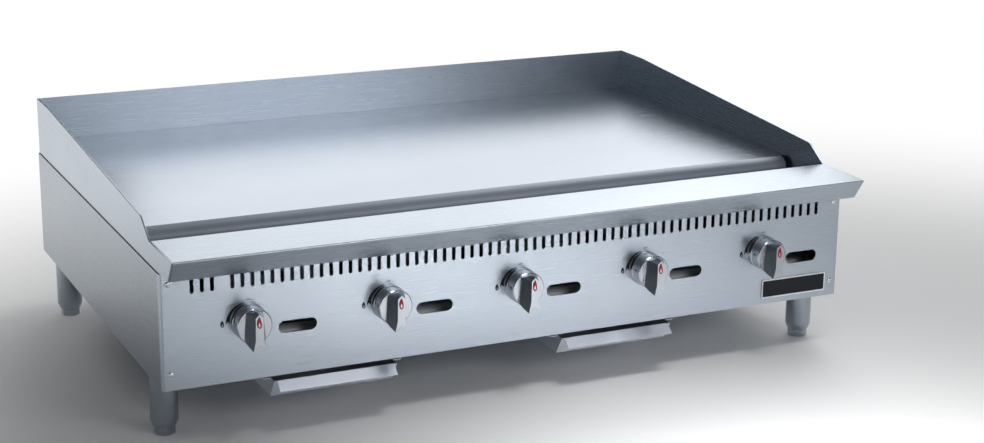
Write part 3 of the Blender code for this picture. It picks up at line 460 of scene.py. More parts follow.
def folded(path, thickness):
    """The outline of a folded sheet: a path, and the same path moved to its left by the thickness."""
    runs = [(b - a).normalized() for a, b in zip(path, path[1:])]
    sides = [Vector((-run.y, run.x)) for run in runs]
    moved = []
    for point, first, second in zip(path, [sides[0]] + sides, sides + [sides[-1]]):
        moved.append(point + (first + second) * thickness / (1 + first.dot(second)))
    return path + moved[::-1]


def pipe(name, route, radius):
    """A pipe along a level route, with its bore."""
    shape = bmesh.new()
    runs = [(b - a).normalized() for a, b in zip(route, route[1:])]
    rings = []
    for point, first, second in zip(route, [runs[0]] + runs, runs + [runs[-1]]):
        ahead = (first + second).normalized()
        side = Vector((ahead.y, -ahead.x, 0))
        for reach in (radius, radius * PIPE_BORE):
            ring = []
            for step in range(PIPE_SIDES):
                angle = math.tau * step / PIPE_SIDES
                offset = side * math.cos(angle) + Vector((0, 0, 1)) * math.sin(angle)
                ring.append(shape.verts.new(point + offset * reach))
            rings.append(ring)
    outers = rings[::2]
    bores = rings[1::2]
    join_rings(shape, [bores[0]] + outers + bores[::-1])
    return new_piece(name, shape)


def threaded(name, radius, length):
    """A screw thread along Z, whose crests follow a helix."""
    rows = round(length / THREAD_PITCH) * THREAD_STEPS
    shape = bmesh.new()
    rings = []
    for row in range(rows + 1):
        ring = []
        for step in range(THREAD_SIDES):
            turn = step / THREAD_SIDES
            wave = abs(2 * ((row / THREAD_STEPS - turn) % 1) - 1)
            reach = radius - THREAD_DEPTH * wave
            angle = math.tau * turn
            ring.append(shape.verts.new((reach * math.cos(angle), reach * math.sin(angle), length * row / rows)))
        rings.append(ring)
    shape.faces.new(rings[0])
    shape.faces.new(rings[-1])
    join_rings(shape, rings)
    return new_piece(name, shape)


# Node trees for what repeats


def new_tree(name, inputs):
    """A geometry tree with named inputs, and geometry in and out."""
    tree = bpy.data.node_groups.new(name, "GeometryNodeTree")
    tree.interface.new_socket("Geometry", in_out="INPUT", socket_type="NodeSocketGeometry")
    for label, kind in inputs:
        tree.interface.new_socket(label, in_out="INPUT", socket_type=f"NodeSocket{kind}")
    tree.interface.new_socket("Geometry", in_out="OUTPUT", socket_type="NodeSocketGeometry")
    return tree


def add_node(tree, kind, links=(), **settings):
    """A node with its settings, and its inputs linked to sockets or given values."""
    node = tree.nodes.new(kind)
    for key, value in settings.items():
        setattr(node, key, value)
    for label, source in links:
        if isinstance(source, bpy.types.NodeSocket):
            tree.links.new(source, node.inputs[label])
        else:
            node.inputs[label].default_value = source
    return node


def finish_tree(tree, shape, material):
    """End a tree in realized copies with their finish."""
    whole = add_node(tree, "GeometryNodeRealizeInstances", [("Geometry", shape)])
    dressed = add_node(
        tree, "GeometryNodeSetMaterial", [("Geometry", whole.outputs[0]), ("Material", material)]
    )
    add_node(tree, "NodeGroupOutput", [("Geometry", dressed.outputs[0])])


def slot_cutter(tree, given):
    """The nodes that make one upright, round-ended cutter."""
    outline = add_node(
        tree, "GeometryNodeCurvePrimitiveQuadrilateral",
        [("Width", given["Slot width"]), ("Height", given["Slot height"])],
    )
    rounded = add_node(
        tree, "GeometryNodeFilletCurve",
        [("Curve", outline.outputs[0]), ("Count", given["End steps"]), ("Radius", given["End radius"]),
         ("Limit Radius", True)],
        mode="POLY",
    )
    face = add_node(tree, "GeometryNodeFillCurve", [("Curve", rounded.outputs[0])], mode="NGONS")
    swept = add_node(
        tree, "GeometryNodeExtrudeMesh",
        [("Mesh", face.outputs[0]), ("Offset Scale", given["Depth"]), ("Individual", False)],
        mode="FACES",
    )
    back = add_node(tree, "GeometryNodeFlipFaces", [("Mesh", face.outputs[0])])
    closed = add_node(tree, "GeometryNodeJoinGeometry")
    tree.links.new(swept.outputs["Mesh"], closed.inputs[0])
    tree.links.new(back.outputs[0], closed.inputs[0])
    cutter = add_node(
        tree, "GeometryNodeMergeByDistance", [("Geometry", closed.outputs[0]), ("Distance", WELD)]
    )
    upright = add_node(
        tree, "GeometryNodeTransform",
        [("Geometry", cutter.outputs[0]), ("Rotation", (math.pi / 2, 0, 0))],
    )
    return upright.outputs[0]


def slot_row_tree():
    """Cut a row of round-ended slots through an upright sheet."""
    tree = new_tree("slot_row", [
        ("Slot width", "Float"), ("Slot height", "Float"), ("End radius", "Float"), ("End steps", "Int"),
        ("Depth", "Float"), ("Count", "Int"), ("Left out", "Int"), ("First place", "Vector"),
        ("Pitch", "Vector"), ("Finish", "Material"),
    ])
    given = tree.nodes.new("NodeGroupInput").outputs
    row = add_node(
        tree, "GeometryNodeMeshLine",
        [("Count", given["Count"]), ("Start Location", given["First place"]), ("Offset", given["Pitch"])],
    )
    index = add_node(tree, "GeometryNodeInputIndex")
    blank = add_node(tree, "FunctionNodeCompare", data_type="INT", operation="EQUAL")
    tree.links.new(index.outputs[0], blank.inputs[2])
    tree.links.new(given["Left out"], blank.inputs[3])
    kept = add_node(
        tree, "GeometryNodeDeleteGeometry",
        [("Geometry", row.outputs[0]), ("Selection", blank.outputs[0])],
        domain="POINT",
    )
    cutters = add_node(
        tree, "GeometryNodeInstanceOnPoints",
        [("Points", kept.outputs[0]), ("Instance", slot_cutter(tree, given))],
    )
    solid = add_node(tree, "GeometryNodeRealizeInstances", [("Geometry", cutters.outputs[0])])
    cut = add_node(tree, "GeometryNodeMeshBoolean", operation="DIFFERENCE", solver="EXACT")
    tree.links.new(given["Geometry"], cut.inputs[0])
    tree.links.new(solid.outputs[0], cut.inputs[1])
    finish_tree(tree, cut.outputs[0], given["Finish"])
    return tree


def row_of_copies_tree():
    """Repeat a shape at equal steps."""
    tree = new_tree("row_of_copies", [("Count", "Int"), ("Pitch", "Vector"), ("Finish", "Material")])
    given = tree.nodes.new("NodeGroupInput").outputs
    row = add_node(
        tree, "GeometryNodeMeshLine", [("Count", given["Count"]), ("Offset", given["Pitch"])]
    )
    copies = add_node(
        tree, "GeometryNodeInstanceOnPoints",
        [("Points", row.outputs[0]), ("Instance", given["Geometry"])],
    )
    finish_tree(tree, copies.outputs[0], given["Finish"])
    return tree


def grow(piece, tree, values):
    """Run a tree on a piece with its named inputs set, and keep the result as a plain mesh."""
    step = piece.modifiers.new(tree.name, "NODES")
    step.node_group = tree
    for socket in tree.interface.items_tree:
        if socket.in_out == "INPUT" and socket.name in values:
            step[socket.identifier] = values[socket.name]
    return settle(piece)


# Finishes

NOISE_LOW = 0.25
NOISE_HIGH = 0.75
EVEN = (1, 1, 1)
STREAK_SCALE = 1
STREAK_DETAIL = 3
STREAK_HEIGHT = 0.0002
CLOUD_SCALE = 5
CLOUD_DETAIL = 2
SPECKLE_DETAIL = 4
SPECKLE_HEIGHT = 0.0005


def new_finish(name):
    """A new material, its node tree and its main shader."""
    finish = bpy.data.materials.new(name)
    finish.use_nodes = True
    return finish, finish.node_tree, finish.node_tree.nodes["Principled BSDF"]


def stretched_noise(tree, scale, detail, stretch):
    """Noise on Object coordinates, stretched along one axis by small scales there."""
    place_of = add_node(tree, "ShaderNodeTexCoord")
    mapped = add_node(
        tree, "ShaderNodeMapping", [("Vector", place_of.outputs["Object"]), ("Scale", stretch)]
    )
    return add_node(
        tree, "ShaderNodeTexNoise",
        [("Vector", mapped.outputs[0]), ("Scale", scale), ("Detail", detail)],
    )


def spread(tree, source, low, high):
    """A value between two limits from noise."""
    return add_node(tree, "ShaderNodeMapRange", [
        ("Value", source), ("From Min", NOISE_LOW), ("From Max", NOISE_HIGH), ("To Min", low), ("To Max", high),
    ]).outputs[0]


def shade(tree, source, dark, light):
    """A colour between two others from noise."""
    mix = add_node(tree, "ShaderNodeMix", [("Factor", source)], data_type="RGBA")
    mix.inputs[6].default_value = (*dark, 1)
    mix.inputs[7].default_value = (*light, 1)
    return mix.outputs[2]


def bump(tree, shader, source, strength, distance):
    """Raise the surface by noise."""
    raised = add_node(
        tree, "ShaderNodeBump", [("Height", source), ("Strength", strength), ("Distance", distance)]
    )
    tree.links.new(raised.outputs[0], shader.inputs["Normal"])


def brushed_metal(name, dark, light, rough, grain, depth):
    """Metal brushed along one axis: fine streaks in its gloss and faint clouds in its colour."""
    finish, tree, shader = new_finish(name)
    shader.inputs["Metallic"].default_value = 1
    streaks = stretched_noise(tree, STREAK_SCALE, STREAK_DETAIL, grain)
    clouds = stretched_noise(tree, CLOUD_SCALE, CLOUD_DETAIL, EVEN)
    tree.links.new(shade(tree, clouds.outputs[0], dark, light), shader.inputs["Base Color"])
    tree.links.new(spread(tree, streaks.outputs[0], *rough), shader.inputs["Roughness"])
    bump(tree, shader, streaks.outputs[0], depth, STREAK_HEIGHT)
    return finish


def speckled(name, dark, light, rough, scale, metallic, depth, shine=0.5):
    """A cast or painted surface with fine speckle in colour, gloss and height."""
    finish, tree, shader = new_finish(name)
    shader.inputs["Metallic"].default_value = metallic
    shader.inputs["Specular IOR Level"].default_value = shine
    grain = stretched_noise(tree, scale, SPECKLE_DETAIL, EVEN)
    tree.links.new(shade(tree, grain.outputs[0], dark, light), shader.inputs["Base Color"])
    tree.links.new(spread(tree, grain.outputs[0], *rough), shader.inputs["Roughness"])
    bump(tree, shader, grain.outputs[0], depth, SPECKLE_HEIGHT)
    return finish


STEEL_DARK = (0.42, 0.47, 0.535)
STEEL_LIGHT = (0.48, 0.53, 0.595)
# Painted shade: the side panels are the same stainless steel as the front, given a darker colour for the shade they
# sit in.
SIDE_SHADE_DARK = (0.315, 0.352, 0.400)
SIDE_SHADE_LIGHT = (0.360, 0.398, 0.446)
# Painted highlight: the trays are the same stainless steel, given a much paler colour for the light their lips
# catch.
TRAY_LIT_DARK = (0.68, 0.71, 0.78)
TRAY_LIT_LIGHT = (0.76, 0.79, 0.86)
# Painted shade: the legs and feet are the same stainless steel, given a darker colour for the shade under the
# cabinet.
LEG_SHADE_DARK = (0.33, 0.365, 0.41)
LEG_SHADE_LIGHT = (0.39, 0.425, 0.475)
PLATE_DARK = (0.39, 0.43, 0.495)
PLATE_LIGHT = (0.43, 0.475, 0.54)
NOSE_DARK = (0.34, 0.375, 0.43)
NOSE_LIGHT = (0.38, 0.415, 0.475)
FRONT_GLOSS = (0.26, 0.32)
LEDGE_GLOSS = (0.25, 0.31)
SIDE_GLOSS = (0.24, 0.30)
PLATE_GLOSS = (0.24, 0.28)
NOSE_GLOSS = (0.52, 0.62)
LEG_GLOSS = (0.12, 0.17)
TRAY_GLOSS = (0.36, 0.46)
ALONG_WIDTH = (14, 900, 900)
ALONG_DEPTH = (900, 14, 900)
ALONG_HEIGHT = (900, 900, 14)

# Brushed finishes: name, dark and light colour, roughness limits, way of the brushing and its depth
BRUSHED = {
    "front_steel": ("brushed_front_steel", STEEL_DARK, STEEL_LIGHT, FRONT_GLOSS, ALONG_WIDTH, 0.012),
    "ledge_steel": ("brushed_ledge_steel", STEEL_DARK, STEEL_LIGHT, LEDGE_GLOSS, ALONG_WIDTH, 0.012),
    "side_steel": ("brushed_side_steel_painted_shade", SIDE_SHADE_DARK, SIDE_SHADE_LIGHT, SIDE_GLOSS, ALONG_DEPTH, 0.012),
    "guard_steel": ("brushed_guard_steel", STEEL_DARK, STEEL_LIGHT, SIDE_GLOSS, ALONG_DEPTH, 0.012),
    "tray_steel": ("satin_tray_steel_painted_highlight", TRAY_LIT_DARK, TRAY_LIT_LIGHT, TRAY_GLOSS, ALONG_WIDTH, 0.04),
    "leg_steel": ("satin_leg_steel_painted_shade", LEG_SHADE_DARK, LEG_SHADE_LIGHT, LEG_GLOSS, ALONG_HEIGHT, 0.02),
    "plate": ("ground_plate_steel", PLATE_DARK, PLATE_LIGHT, PLATE_GLOSS, ALONG_WIDTH, 0.008),
    "nose": ("milled_plate_nose", NOSE_DARK, NOSE_LIGHT, NOSE_GLOSS, ALONG_WIDTH, 0.02),
}
# Speckled finishes: name, dark and light colour, roughness limits, speckle scale, metallic share, depth and shine
SPECKLED = {
    "chrome": ("knob_chrome", (0.38, 0.405, 0.44), (0.43, 0.455, 0.49), (0.15, 0.21), 60, 1, 0.01),
    # Painted shade: the knob flanks are the knob's own chrome, made darker for the shade they reflect.
    "flank": ("painted_shade_knob_flank", (0.16, 0.175, 0.19), (0.20, 0.215, 0.23), (0.22, 0.28), 60, 1, 0.01),
    # Dull steel is the pipes' and stems' own finish; on the stainless tray rails it is painted shade.
    "dull_steel": ("dull_pipe_steel_and_rail_shade", (0.34, 0.36, 0.38), (0.44, 0.46, 0.48), (0.42, 0.55), 220, 1, 0.05),
    "screw_steel": ("bright_screw_steel", (0.60, 0.62, 0.65), (0.70, 0.72, 0.75), (0.20, 0.30), 400, 1, 0.02),
    "cast_iron": ("cast_burner_iron", (0.05, 0.05, 0.055), (0.11, 0.11, 0.115), (0.6, 0.8), 320, 0.6, 0.3),
    "brass": ("machined_brass", (0.62, 0.47, 0.22), (0.72, 0.56, 0.28), (0.26, 0.38), 250, 1, 0.05),
    # Painted shade: the pilot tubes' aluminium is given a dark colour for the shade inside the cabinet, so it
    # doesn't glint through the vents.
    "aluminium": ("drawn_aluminium_painted_shade", (0.22, 0.225, 0.23), (0.30, 0.305, 0.31), (0.50, 0.62), 250, 1, 0.03),
    # Painted light: the manifold is given a pale, half-metallic colour so it shows lit through the viewing slots.
    "lit_manifold": ("pale_manifold_painted_light", (0.60, 0.63, 0.66), (0.72, 0.75, 0.78), (0.45, 0.58), 160, 0.3, 0.04),
    "badge": ("black_badge_enamel", (0.009, 0.011, 0.016), (0.012, 0.014, 0.020), (0.24, 0.28), 700, 0, 0.003, 0.2),
    "border": ("silver_badge_border", (0.78, 0.80, 0.82), (0.86, 0.88, 0.90), (0.35, 0.45), 160, 0, 0.02),
    "black_print": (
        "black_panel_print", (0.010, 0.011, 0.013), (0.018, 0.019, 0.021), (0.45, 0.6), 500, 0, 0.02, 0.2,
    ),
    "red_print": ("red_flame_print", (0.30, 0.02, 0.03), (0.38, 0.03, 0.04), (0.35, 0.5), 500, 0, 0.02, 0.2),
}
FINISHES = {key: brushed_metal(*row) for key, row in BRUSHED.items()}
FINISHES |= {key: speckled(*row) for key, row in SPECKLED.items()}

SLOT_ROW = slot_row_tree()
ROW_OF_COPIES = row_of_copies_tree()


def stem_axis(number):
    """Where a knob's axis meets the front panel's outer face."""
    low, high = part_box(f"valve_stem_{number}")
    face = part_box("front_panel")[0].y
    return Vector(((low.x + high.x) / 2, face, (low.z + high.z) / 2))


def knob_pitch():
    """The step from one knob to the next."""
    return (stem_axis(KNOBS).x - stem_axis(1).x) / (KNOBS - 1), 0, 0


# Cabinet


def panel_sheet():
    """The front panel's sheet: round upright corners, and the returns behind its foot and top."""
    low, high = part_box("front_panel")
    ledge_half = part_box("front_ledge")[1].x
    wrap_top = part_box("left_side_panel")[1].z
    half = high.x
    path = [(-half, CORNER_RETURN), (-half, 0), (half, 0), (half, CORNER_RETURN)]
    outline = folded(bent_path(path, CORNER_RADIUS), SHEET)
    panel = flat_solid("front_panel_sheet", [outline], wrap_top - low.z)
    place(panel, Matrix.Translation((0, low.y, (wrap_top + low.z) / 2)))
    inner = low.y + SHEET
    back = low.y + PANEL_RETURN
    reach = half - SHEET - CLEARANCE
    foot_fold = block("foot", (-reach, low.y + SHEET / 2, low.z), (reach, back, low.z + SHEET))
    panel = combine(panel, foot_fold, "UNION")
    web = block("web", (-ledge_half, low.y, wrap_top - SHEET), (ledge_half, inner, high.z))
    panel = combine(panel, web, "UNION")
    top_fold = block("top", (-ledge_half, low.y + SHEET / 2, high.z - SHEET), (ledge_half, back, high.z))
    return combine(panel, top_fold, "UNION")


def front_panel():
    """The front panel with its vents, viewing slots and stem holes."""
    panel = panel_sheet()
    stem = stem_axis(1)
    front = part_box("front_panel")[0].y + CUT_DEPTH / 2
    common = {"Depth": CUT_DEPTH, "End steps": SLOT_STEPS, "Finish": FINISHES["front_steel"], "Left out": -1}
    panel = grow(panel, SLOT_ROW, common | {
        "Slot width": VENT_WIDTH, "Slot height": VENT_HEIGHT, "End radius": VENT_WIDTH / 2,
        "Count": VENT_COUNT, "Left out": VENT_LEFT_OUT, "Pitch": (VENT_PITCH, 0, 0),
        "First place": (-VENT_PITCH * (VENT_COUNT - 1) / 2, front, VENT_MIDDLE_Z),
    })
    panel = grow(panel, SLOT_ROW, common | {
        "Slot width": VIEW_SLOT_LENGTH, "Slot height": VIEW_SLOT_HEIGHT, "End radius": VIEW_SLOT_HEIGHT / 2,
        "Count": KNOBS, "Pitch": knob_pitch(),
        "First place": (stem.x + VIEW_SLOT_OFFSET, front, stem.z - VIEW_SLOT_DROP),
    })
    panel = grow(panel, SLOT_ROW, common | {
        "Slot width": STEM_HOLE, "Slot height": STEM_HOLE, "End radius": STEM_HOLE / 2,
        "Count": KNOBS, "Pitch": knob_pitch(), "First place": (stem.x, front, stem.z),
    })
    round_edges(weld(panel), PANEL_EDGE)
    dress(panel, FINISHES["front_steel"], "stainless", "cabinet", "front_panel")


def side_panel(side):
    """A side panel behind the front panel's rounded corner."""
    node = f"{side}_side_panel"
    low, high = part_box(node)
    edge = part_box("front_panel")[0].y + CORNER_RETURN + CLEARANCE
    outer = high.x if side == "right" else low.x
    inner = outer - math.copysign(SHEET + CLEARANCE, outer)
    x_low, x_high = sorted((inner, outer + math.copysign(SHEET, outer)))
    corner = block("corner", (x_low, low.y - SHEET, low.z - SHEET), (x_high, edge, high.z + SHEET))
    piece = combine(merged_copy(f"{node}_skin", node), corner, "DIFFERENCE")
    near = (outer - WELD, low.y, high.z - WELD)
    bend_edges(piece, near, (outer + WELD, high.y, high.z + WELD))
    round_edges(piece, PANEL_EDGE)
    # The side panels get the darker side steel: painted shade.
    dress(piece, FINISHES["side_steel"], "stainless", "cabinet", node)


def sheet_metal():
    """The rest of the cabinet's sheet metal and its inner supports."""
    for node in ("rear_panel", "base_pan", "plate_front_support", "burner_front_support", "burner_rear_support"):
        dress(skin(node, PANEL_EDGE), FINISHES["front_steel"], "stainless", "cabinet", node)
    for tray in range(1, TRAYS + 1):
        for side in ("left", "right"):
            node = f"tray_rail_{tray}_{side}"
            # Painted shade: the stainless rails take the darker dull steel for the shade under the cabinet.
            dress(skin(node, PANEL_EDGE), FINISHES["dull_steel"], "stainless", "cabinet", node)


def support_hem():
    """The upright hem on the front burner support, between the burners."""
    low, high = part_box("burner_front_support")
    burners = [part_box(f"burner_{number}") for number in range(1, KNOBS + 1)]
    starts = [low.x] + [far.x + HEM_END_SPACE for _, far in burners]
    ends = [near.x - HEM_END_SPACE for near, _ in burners] + [high.x]
    shape = bmesh.new()
    for start, end in zip(starts, ends):
        size = (end - start, SHEET, HEM_HEIGHT)
        middle = Matrix.Translation(((start + end) / 2, low.y + SHEET / 2, high.z + HEM_HEIGHT / 2))
        bmesh.ops.create_cube(shape, size=1, matrix=middle @ Matrix.Diagonal((*size, 1)))
    dress(new_piece("support_hem", shape), FINISHES["dull_steel"], "stainless", "cabinet")


def badge():
    """The bare badge: a black plate with round corners inside a silver border."""
    low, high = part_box("badge_plate")
    width = high.x - low.x
    height = high.z - low.z
    middle = Vector(((low.x + high.x) / 2, 0, (low.z + high.z) / 2))
    outer = rounded_box(width, height, BADGE_CORNER)
    plate = flat_solid("badge_face", [outer], high.y - low.y - BADGE_FACE)
    back = Matrix.Translation(middle + Vector((0, (low.y + high.y + BADGE_FACE) / 2, 0)))
    place(plate, back @ FACING_FRONT)
    dress(round_edges(plate, BADGE_FACE), FINISHES["badge"], "badge_black", "cabinet", "badge_plate")
    inner = rounded_box(width - 2 * BADGE_BORDER, height - 2 * BADGE_BORDER, BADGE_CORNER / 2)
    border = flat_solid("badge_border", [outer, inner], BADGE_FACE)
    place(border, Matrix.Translation(middle + Vector((0, low.y + BADGE_FACE / 2, 0))) @ FACING_FRONT)
    dress(border, FINISHES["border"], "badge_black", "cabinet")


def panel_screw_shape(name):
    """One pan-headed screw with a cross recess, about its own Z axis."""
    low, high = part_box("panel_screw_1")
    radius = (high.x - low.x) / 2
    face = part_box("front_panel")[0].y - CLEARANCE
    head = face - low.y
    length = high.y - face
    shank = radius * SCREW_SHANK
    dome = radius * SCREW_CROWN
    crown = arc((0, head - dome), dome, 90, SCREW_CROWN_END, BEND_STEPS)
    rim = [(radius, head * SCREW_RIM), (radius, 0)]
    profile = [(0, head)] + crown[1:] + rim + [(shank, 0), (shank, -length), (0, -length)]
    screw = turned(name, profile, SCREW_STEPS)
    for across, along in ((RECESS_LENGTH, RECESS_WIDTH), (RECESS_WIDTH, RECESS_LENGTH)):
        corner = Vector((across / 2, along / 2, head - RECESS_DEPTH))
        far = Vector((across / 2, along / 2, head + RECESS_DEPTH))
        recess = block("recess", (-corner.x, -corner.y, corner.z), far)
        screw = combine(screw, recess, "DIFFERENCE")
    return place(screw, FACING_FRONT)


def panel_screws():
    """The front panel's screws, in a row near its foot and a row under the ledge."""
    for label, first, last in (("low", 1, 3), ("high", 2, 4)):
        low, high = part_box(f"panel_screw_{first}")
        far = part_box(f"panel_screw_{last}")[0]
        middle = Vector(((low.x + high.x) / 2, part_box("front_panel")[0].y - CLEARANCE, (low.z + high.z) / 2))
        screw = place(panel_screw_shape(f"panel_screws_{label}"), Matrix.Translation(middle))
        pitch = (far.x - low.x, 0, 0)
        row = grow(screw, ROW_OF_COPIES, {"Count": 2, "Pitch": pitch, "Finish": FINISHES["screw_steel"]})
        smooth(row)
        nodes = (f"panel_screw_{first}", f"panel_screw_{last}")
        dress(row, FINISHES["screw_steel"], "dull_steel", "cabinet", *nodes)


# Top


def front_ledge():
    """The ledge: a folded sheet with bent corners and a sloping front face."""
    low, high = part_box("front_ledge")
    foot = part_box("front_panel")[0].y
    path = [
        (high.y, high.z - LEDGE_HEM),
        (high.y, high.z),
        (low.y, high.z),
        (foot - LEDGE_FOOT_OVERHANG, low.z),
        (foot - CLEARANCE, low.z),
    ]
    outline = folded(bent_path(path, LEDGE_BEND), LEDGE_SHEET)
    ledge = flat_solid("front_ledge_sheet", [outline], high.x - low.x)
    place(ledge, ACROSS_WIDTH)
    dress(round_edges(ledge, PANEL_EDGE), FINISHES["ledge_steel"], "stainless", "cabinet", "front_ledge")


def griddle_plate():
    """The cooking plate: a thick slab with a round nose along its front and a notch at each front corner."""
    low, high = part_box("griddle_plate")
    nose = arc((low.y + PLATE_NOSE, high.z - PLATE_NOSE), PLATE_NOSE, 180, 90, NOSE_STEPS)
    outline = [(high.y, high.z), (high.y, low.z), (low.y, low.z)] + nose
    plate = place(flat_solid("griddle_plate_slab", [outline], high.x - low.x), ACROSS_WIDTH)
    notch_back = low.y + PLATE_NOTCH_LENGTH
    for edge in (low.x, high.x):
        outer = edge + math.copysign(PLATE_EDGE, edge)
        inner = edge - math.copysign(PLATE_NOTCH_WIDTH, edge)
        near = (min(outer, inner), low.y - PLATE_EDGE, low.z - PLATE_EDGE)
        far = (max(outer, inner), notch_back, high.z + PLATE_EDGE)
        plate = combine(plate, block("corner_notch", near, far), "DIFFERENCE")
    dress(round_edges(plate, PLATE_EDGE), FINISHES["plate"], "plate_steel", "cabinet", "griddle_plate")
    plate.data.materials.append(FINISHES["nose"])
    for face in plate.data.polygons:
        face.material_index = int(face.center.y < low.y + PLATE_NOSE)


def top():
    """The cooking plate, its guards and the trough in front of it."""
    griddle_plate()
    for node in ("left_splash", "right_splash"):
        dress(skin(node, GUARD_EDGE), FINISHES["guard_steel"], "stainless", "cabinet", node)
    for node in ("rear_splash", "grease_trough"):
        dress(skin(node, GUARD_EDGE), FINISHES["front_steel"], "stainless", "cabinet", node)
    front_ledge()


# Knobs and their marks


def grip_section(shoulder, flare, tail, notch):
    """One section of a knob's grip, seen from the front: an arrow with a flared and notched tail."""
    right = [shoulder, flare, tail]
    left = [(-x, y) for x, y in reversed(right)]
    return [(0, GRIP_TIP)] + right + [(0, -notch)] + left


def knob_solid(name):
    """A knob about its own Z axis: a round skirt behind a tapering arrow grip."""
    groove = SKIRT_RADIUS - KNOB_GROOVE
    profile = [
        (0, SKIRT_DEPTH),
        (SKIRT_RADIUS - SKIRT_CHAMFER, SKIRT_DEPTH),
        (SKIRT_RADIUS, SKIRT_DEPTH - SKIRT_CHAMFER),
        (SKIRT_RADIUS, BEZEL_DEPTH + KNOB_GROOVE),
        (groove, BEZEL_DEPTH + KNOB_GROOVE),
        (groove, BEZEL_DEPTH),
        (BEZEL_RADIUS - BEZEL_EDGE, BEZEL_DEPTH),
        (BEZEL_RADIUS, BEZEL_DEPTH - BEZEL_EDGE),
        (BEZEL_RADIUS, 0),
        (0, 0),
    ]
    skirt = turned(name, profile, KNOB_STEPS)
    sections = [grip_section(*section) for section in GRIP_SECTIONS]
    grip = lofted("grip", sections, (GRIP_ROOT, RIDGE_DEPTH, KNOB_DEPTH))
    return combine(skirt, grip, "UNION")


def flame(width, height, steps):
    """The outline of a flame about its middle: a drop that leans over as it narrows."""
    right = []
    left = []
    for step in range(steps + 1):
        rise = step / steps
        half = width * FLAME_FULLNESS * rise ** FLAME_SWELLING * (1 - rise) ** FLAME_NARROWING
        lean = width * FLAME_LEAN * math.sin(math.pi * rise) * rise
        right.append((half - lean, (rise - 0.5) * height))
        left.append((-half - lean, (rise - 0.5) * height))
    return right + left[-2:0:-1]


def open_flame(width, height, steps, drop):
    """The outlines of a flame and of the drop left open in it."""
    across, up, sink = drop
    outer = flame(width, height, steps)
    return [outer, [(x * across, y * up - sink) for x, y in outer]]


def knob(number):
    """A control knob whose flanks are darkened chrome as painted shade, and a red flame."""
    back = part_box(f"control_knob_{number}")[1].y
    axis = stem_axis(number)
    seat = Matrix.Translation((axis.x, back, axis.z)) @ FACING_FRONT
    body = f"knob_{number}"
    piece = weld(knob_solid(f"knob_{number}_grip"))
    # The flank faces get the darker chrome: painted shade where the flanks face the shaded floor.
    flanks = [
        face.index for face in piece.data.polygons
        if face.center.z > SKIRT_DEPTH and abs(face.normal.x) > FLANK_LEAN
    ]
    round_edges(place(piece, seat), KNOB_EDGE)
    dress(piece, FINISHES["chrome"], "chrome", body, f"control_knob_{number}")
    piece.data.materials.append(FINISHES["flank"])
    for index in flanks:
        piece.data.polygons[index].material_index = 1
    outlines = open_flame(FLAME_WIDTH, FLAME_HEIGHT, FLAME_STEPS, FLAME_DROP)
    mark = flat_solid(f"knob_{number}_flame", outlines, INLAY)
    place(mark, seat @ Matrix.Translation((0, FLAME_RISE, KNOB_DEPTH)))
    dress(mark, FINISHES["red_print"], "chrome", body)


def crescent():
    """The outline of the turning mark round a knob: it swells from a point to a notched tail."""
    outer = []
    inner = []
    for step in range(CRESCENT_STEPS + 1):
        share = step / CRESCENT_STEPS
        angle = math.radians(CRESCENT_END + (CRESCENT_START - CRESCENT_END) * share)
        reach = CRESCENT_RADIUS + CRESCENT_POINT + (CRESCENT_WIDTH - CRESCENT_POINT) * share ** CRESCENT_SWELLING
        outer.append((reach * math.cos(angle), reach * math.sin(angle)))
        inner.append((CRESCENT_RADIUS * math.cos(angle), CRESCENT_RADIUS * math.sin(angle)))
    middle = CRESCENT_RADIUS + CRESCENT_WIDTH / 2
    notch = (-middle, CRESCENT_TAIL)
    return outer + [notch] + inner[::-1]


def off_letters(name):
    """The word OFF as a flat solid about its middle."""
    letters = bpy.data.curves.new(name, "FONT")
    letters.body = "OFF"
    letters.size = OFF_HEIGHT
    letters.align_x = "CENTER"
    letters.align_y = "CENTER"
    letters.extrude = PRINT_THICKNESS / 2
    piece = bpy.data.objects.new(name, letters)
    bpy.context.scene.collection.objects.link(piece)
    return weld(settle(piece))


def panel_marks():
    """The printed marks round every knob: a crescent, a small flame and OFF."""
    outlines = open_flame(GLYPH_WIDTH, GLYPH_HEIGHT, GLYPH_STEPS, GLYPH_DROP)
    shapes = (
        (flat_solid("turning_marks", [crescent()], PRINT_THICKNESS), (0, 0)),
        (flat_solid("flame_marks", outlines, PRINT_THICKNESS), (-GLYPH_OFFSET, 0)),
        (off_letters("off_marks"), (0, OFF_RISE)),
    )
    for shape, (x, z) in shapes:
        spot = stem_axis(1) + Vector((x, -PRINT_THICKNESS / 2, z))
        place(shape, Matrix.Translation(spot) @ FACING_FRONT)
        row = grow(shape, ROW_OF_COPIES, {
            "Count": KNOBS, "Pitch": knob_pitch(), "Finish": FINISHES["black_print"],
        })
        dress(row, FINISHES["black_print"], "badge_black", "cabinet")


# Gas train


def manifold():
    """The round manifold pipe that shows through the viewing slots."""
    low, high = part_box("gas_manifold")
    radius = (high.z - low.z) / 2
    middle = (low + high) / 2
    route = [Vector((x, middle.y, middle.z)) for x in (low.x, high.x)]
    piece = pipe("gas_manifold_pipe", route, radius)
    # The manifold gets the pale pipe finish: painted light.
    dress(round_edges(piece, PANEL_EDGE), FINISHES["lit_manifold"], "dull_steel", "cabinet", "gas_manifold")


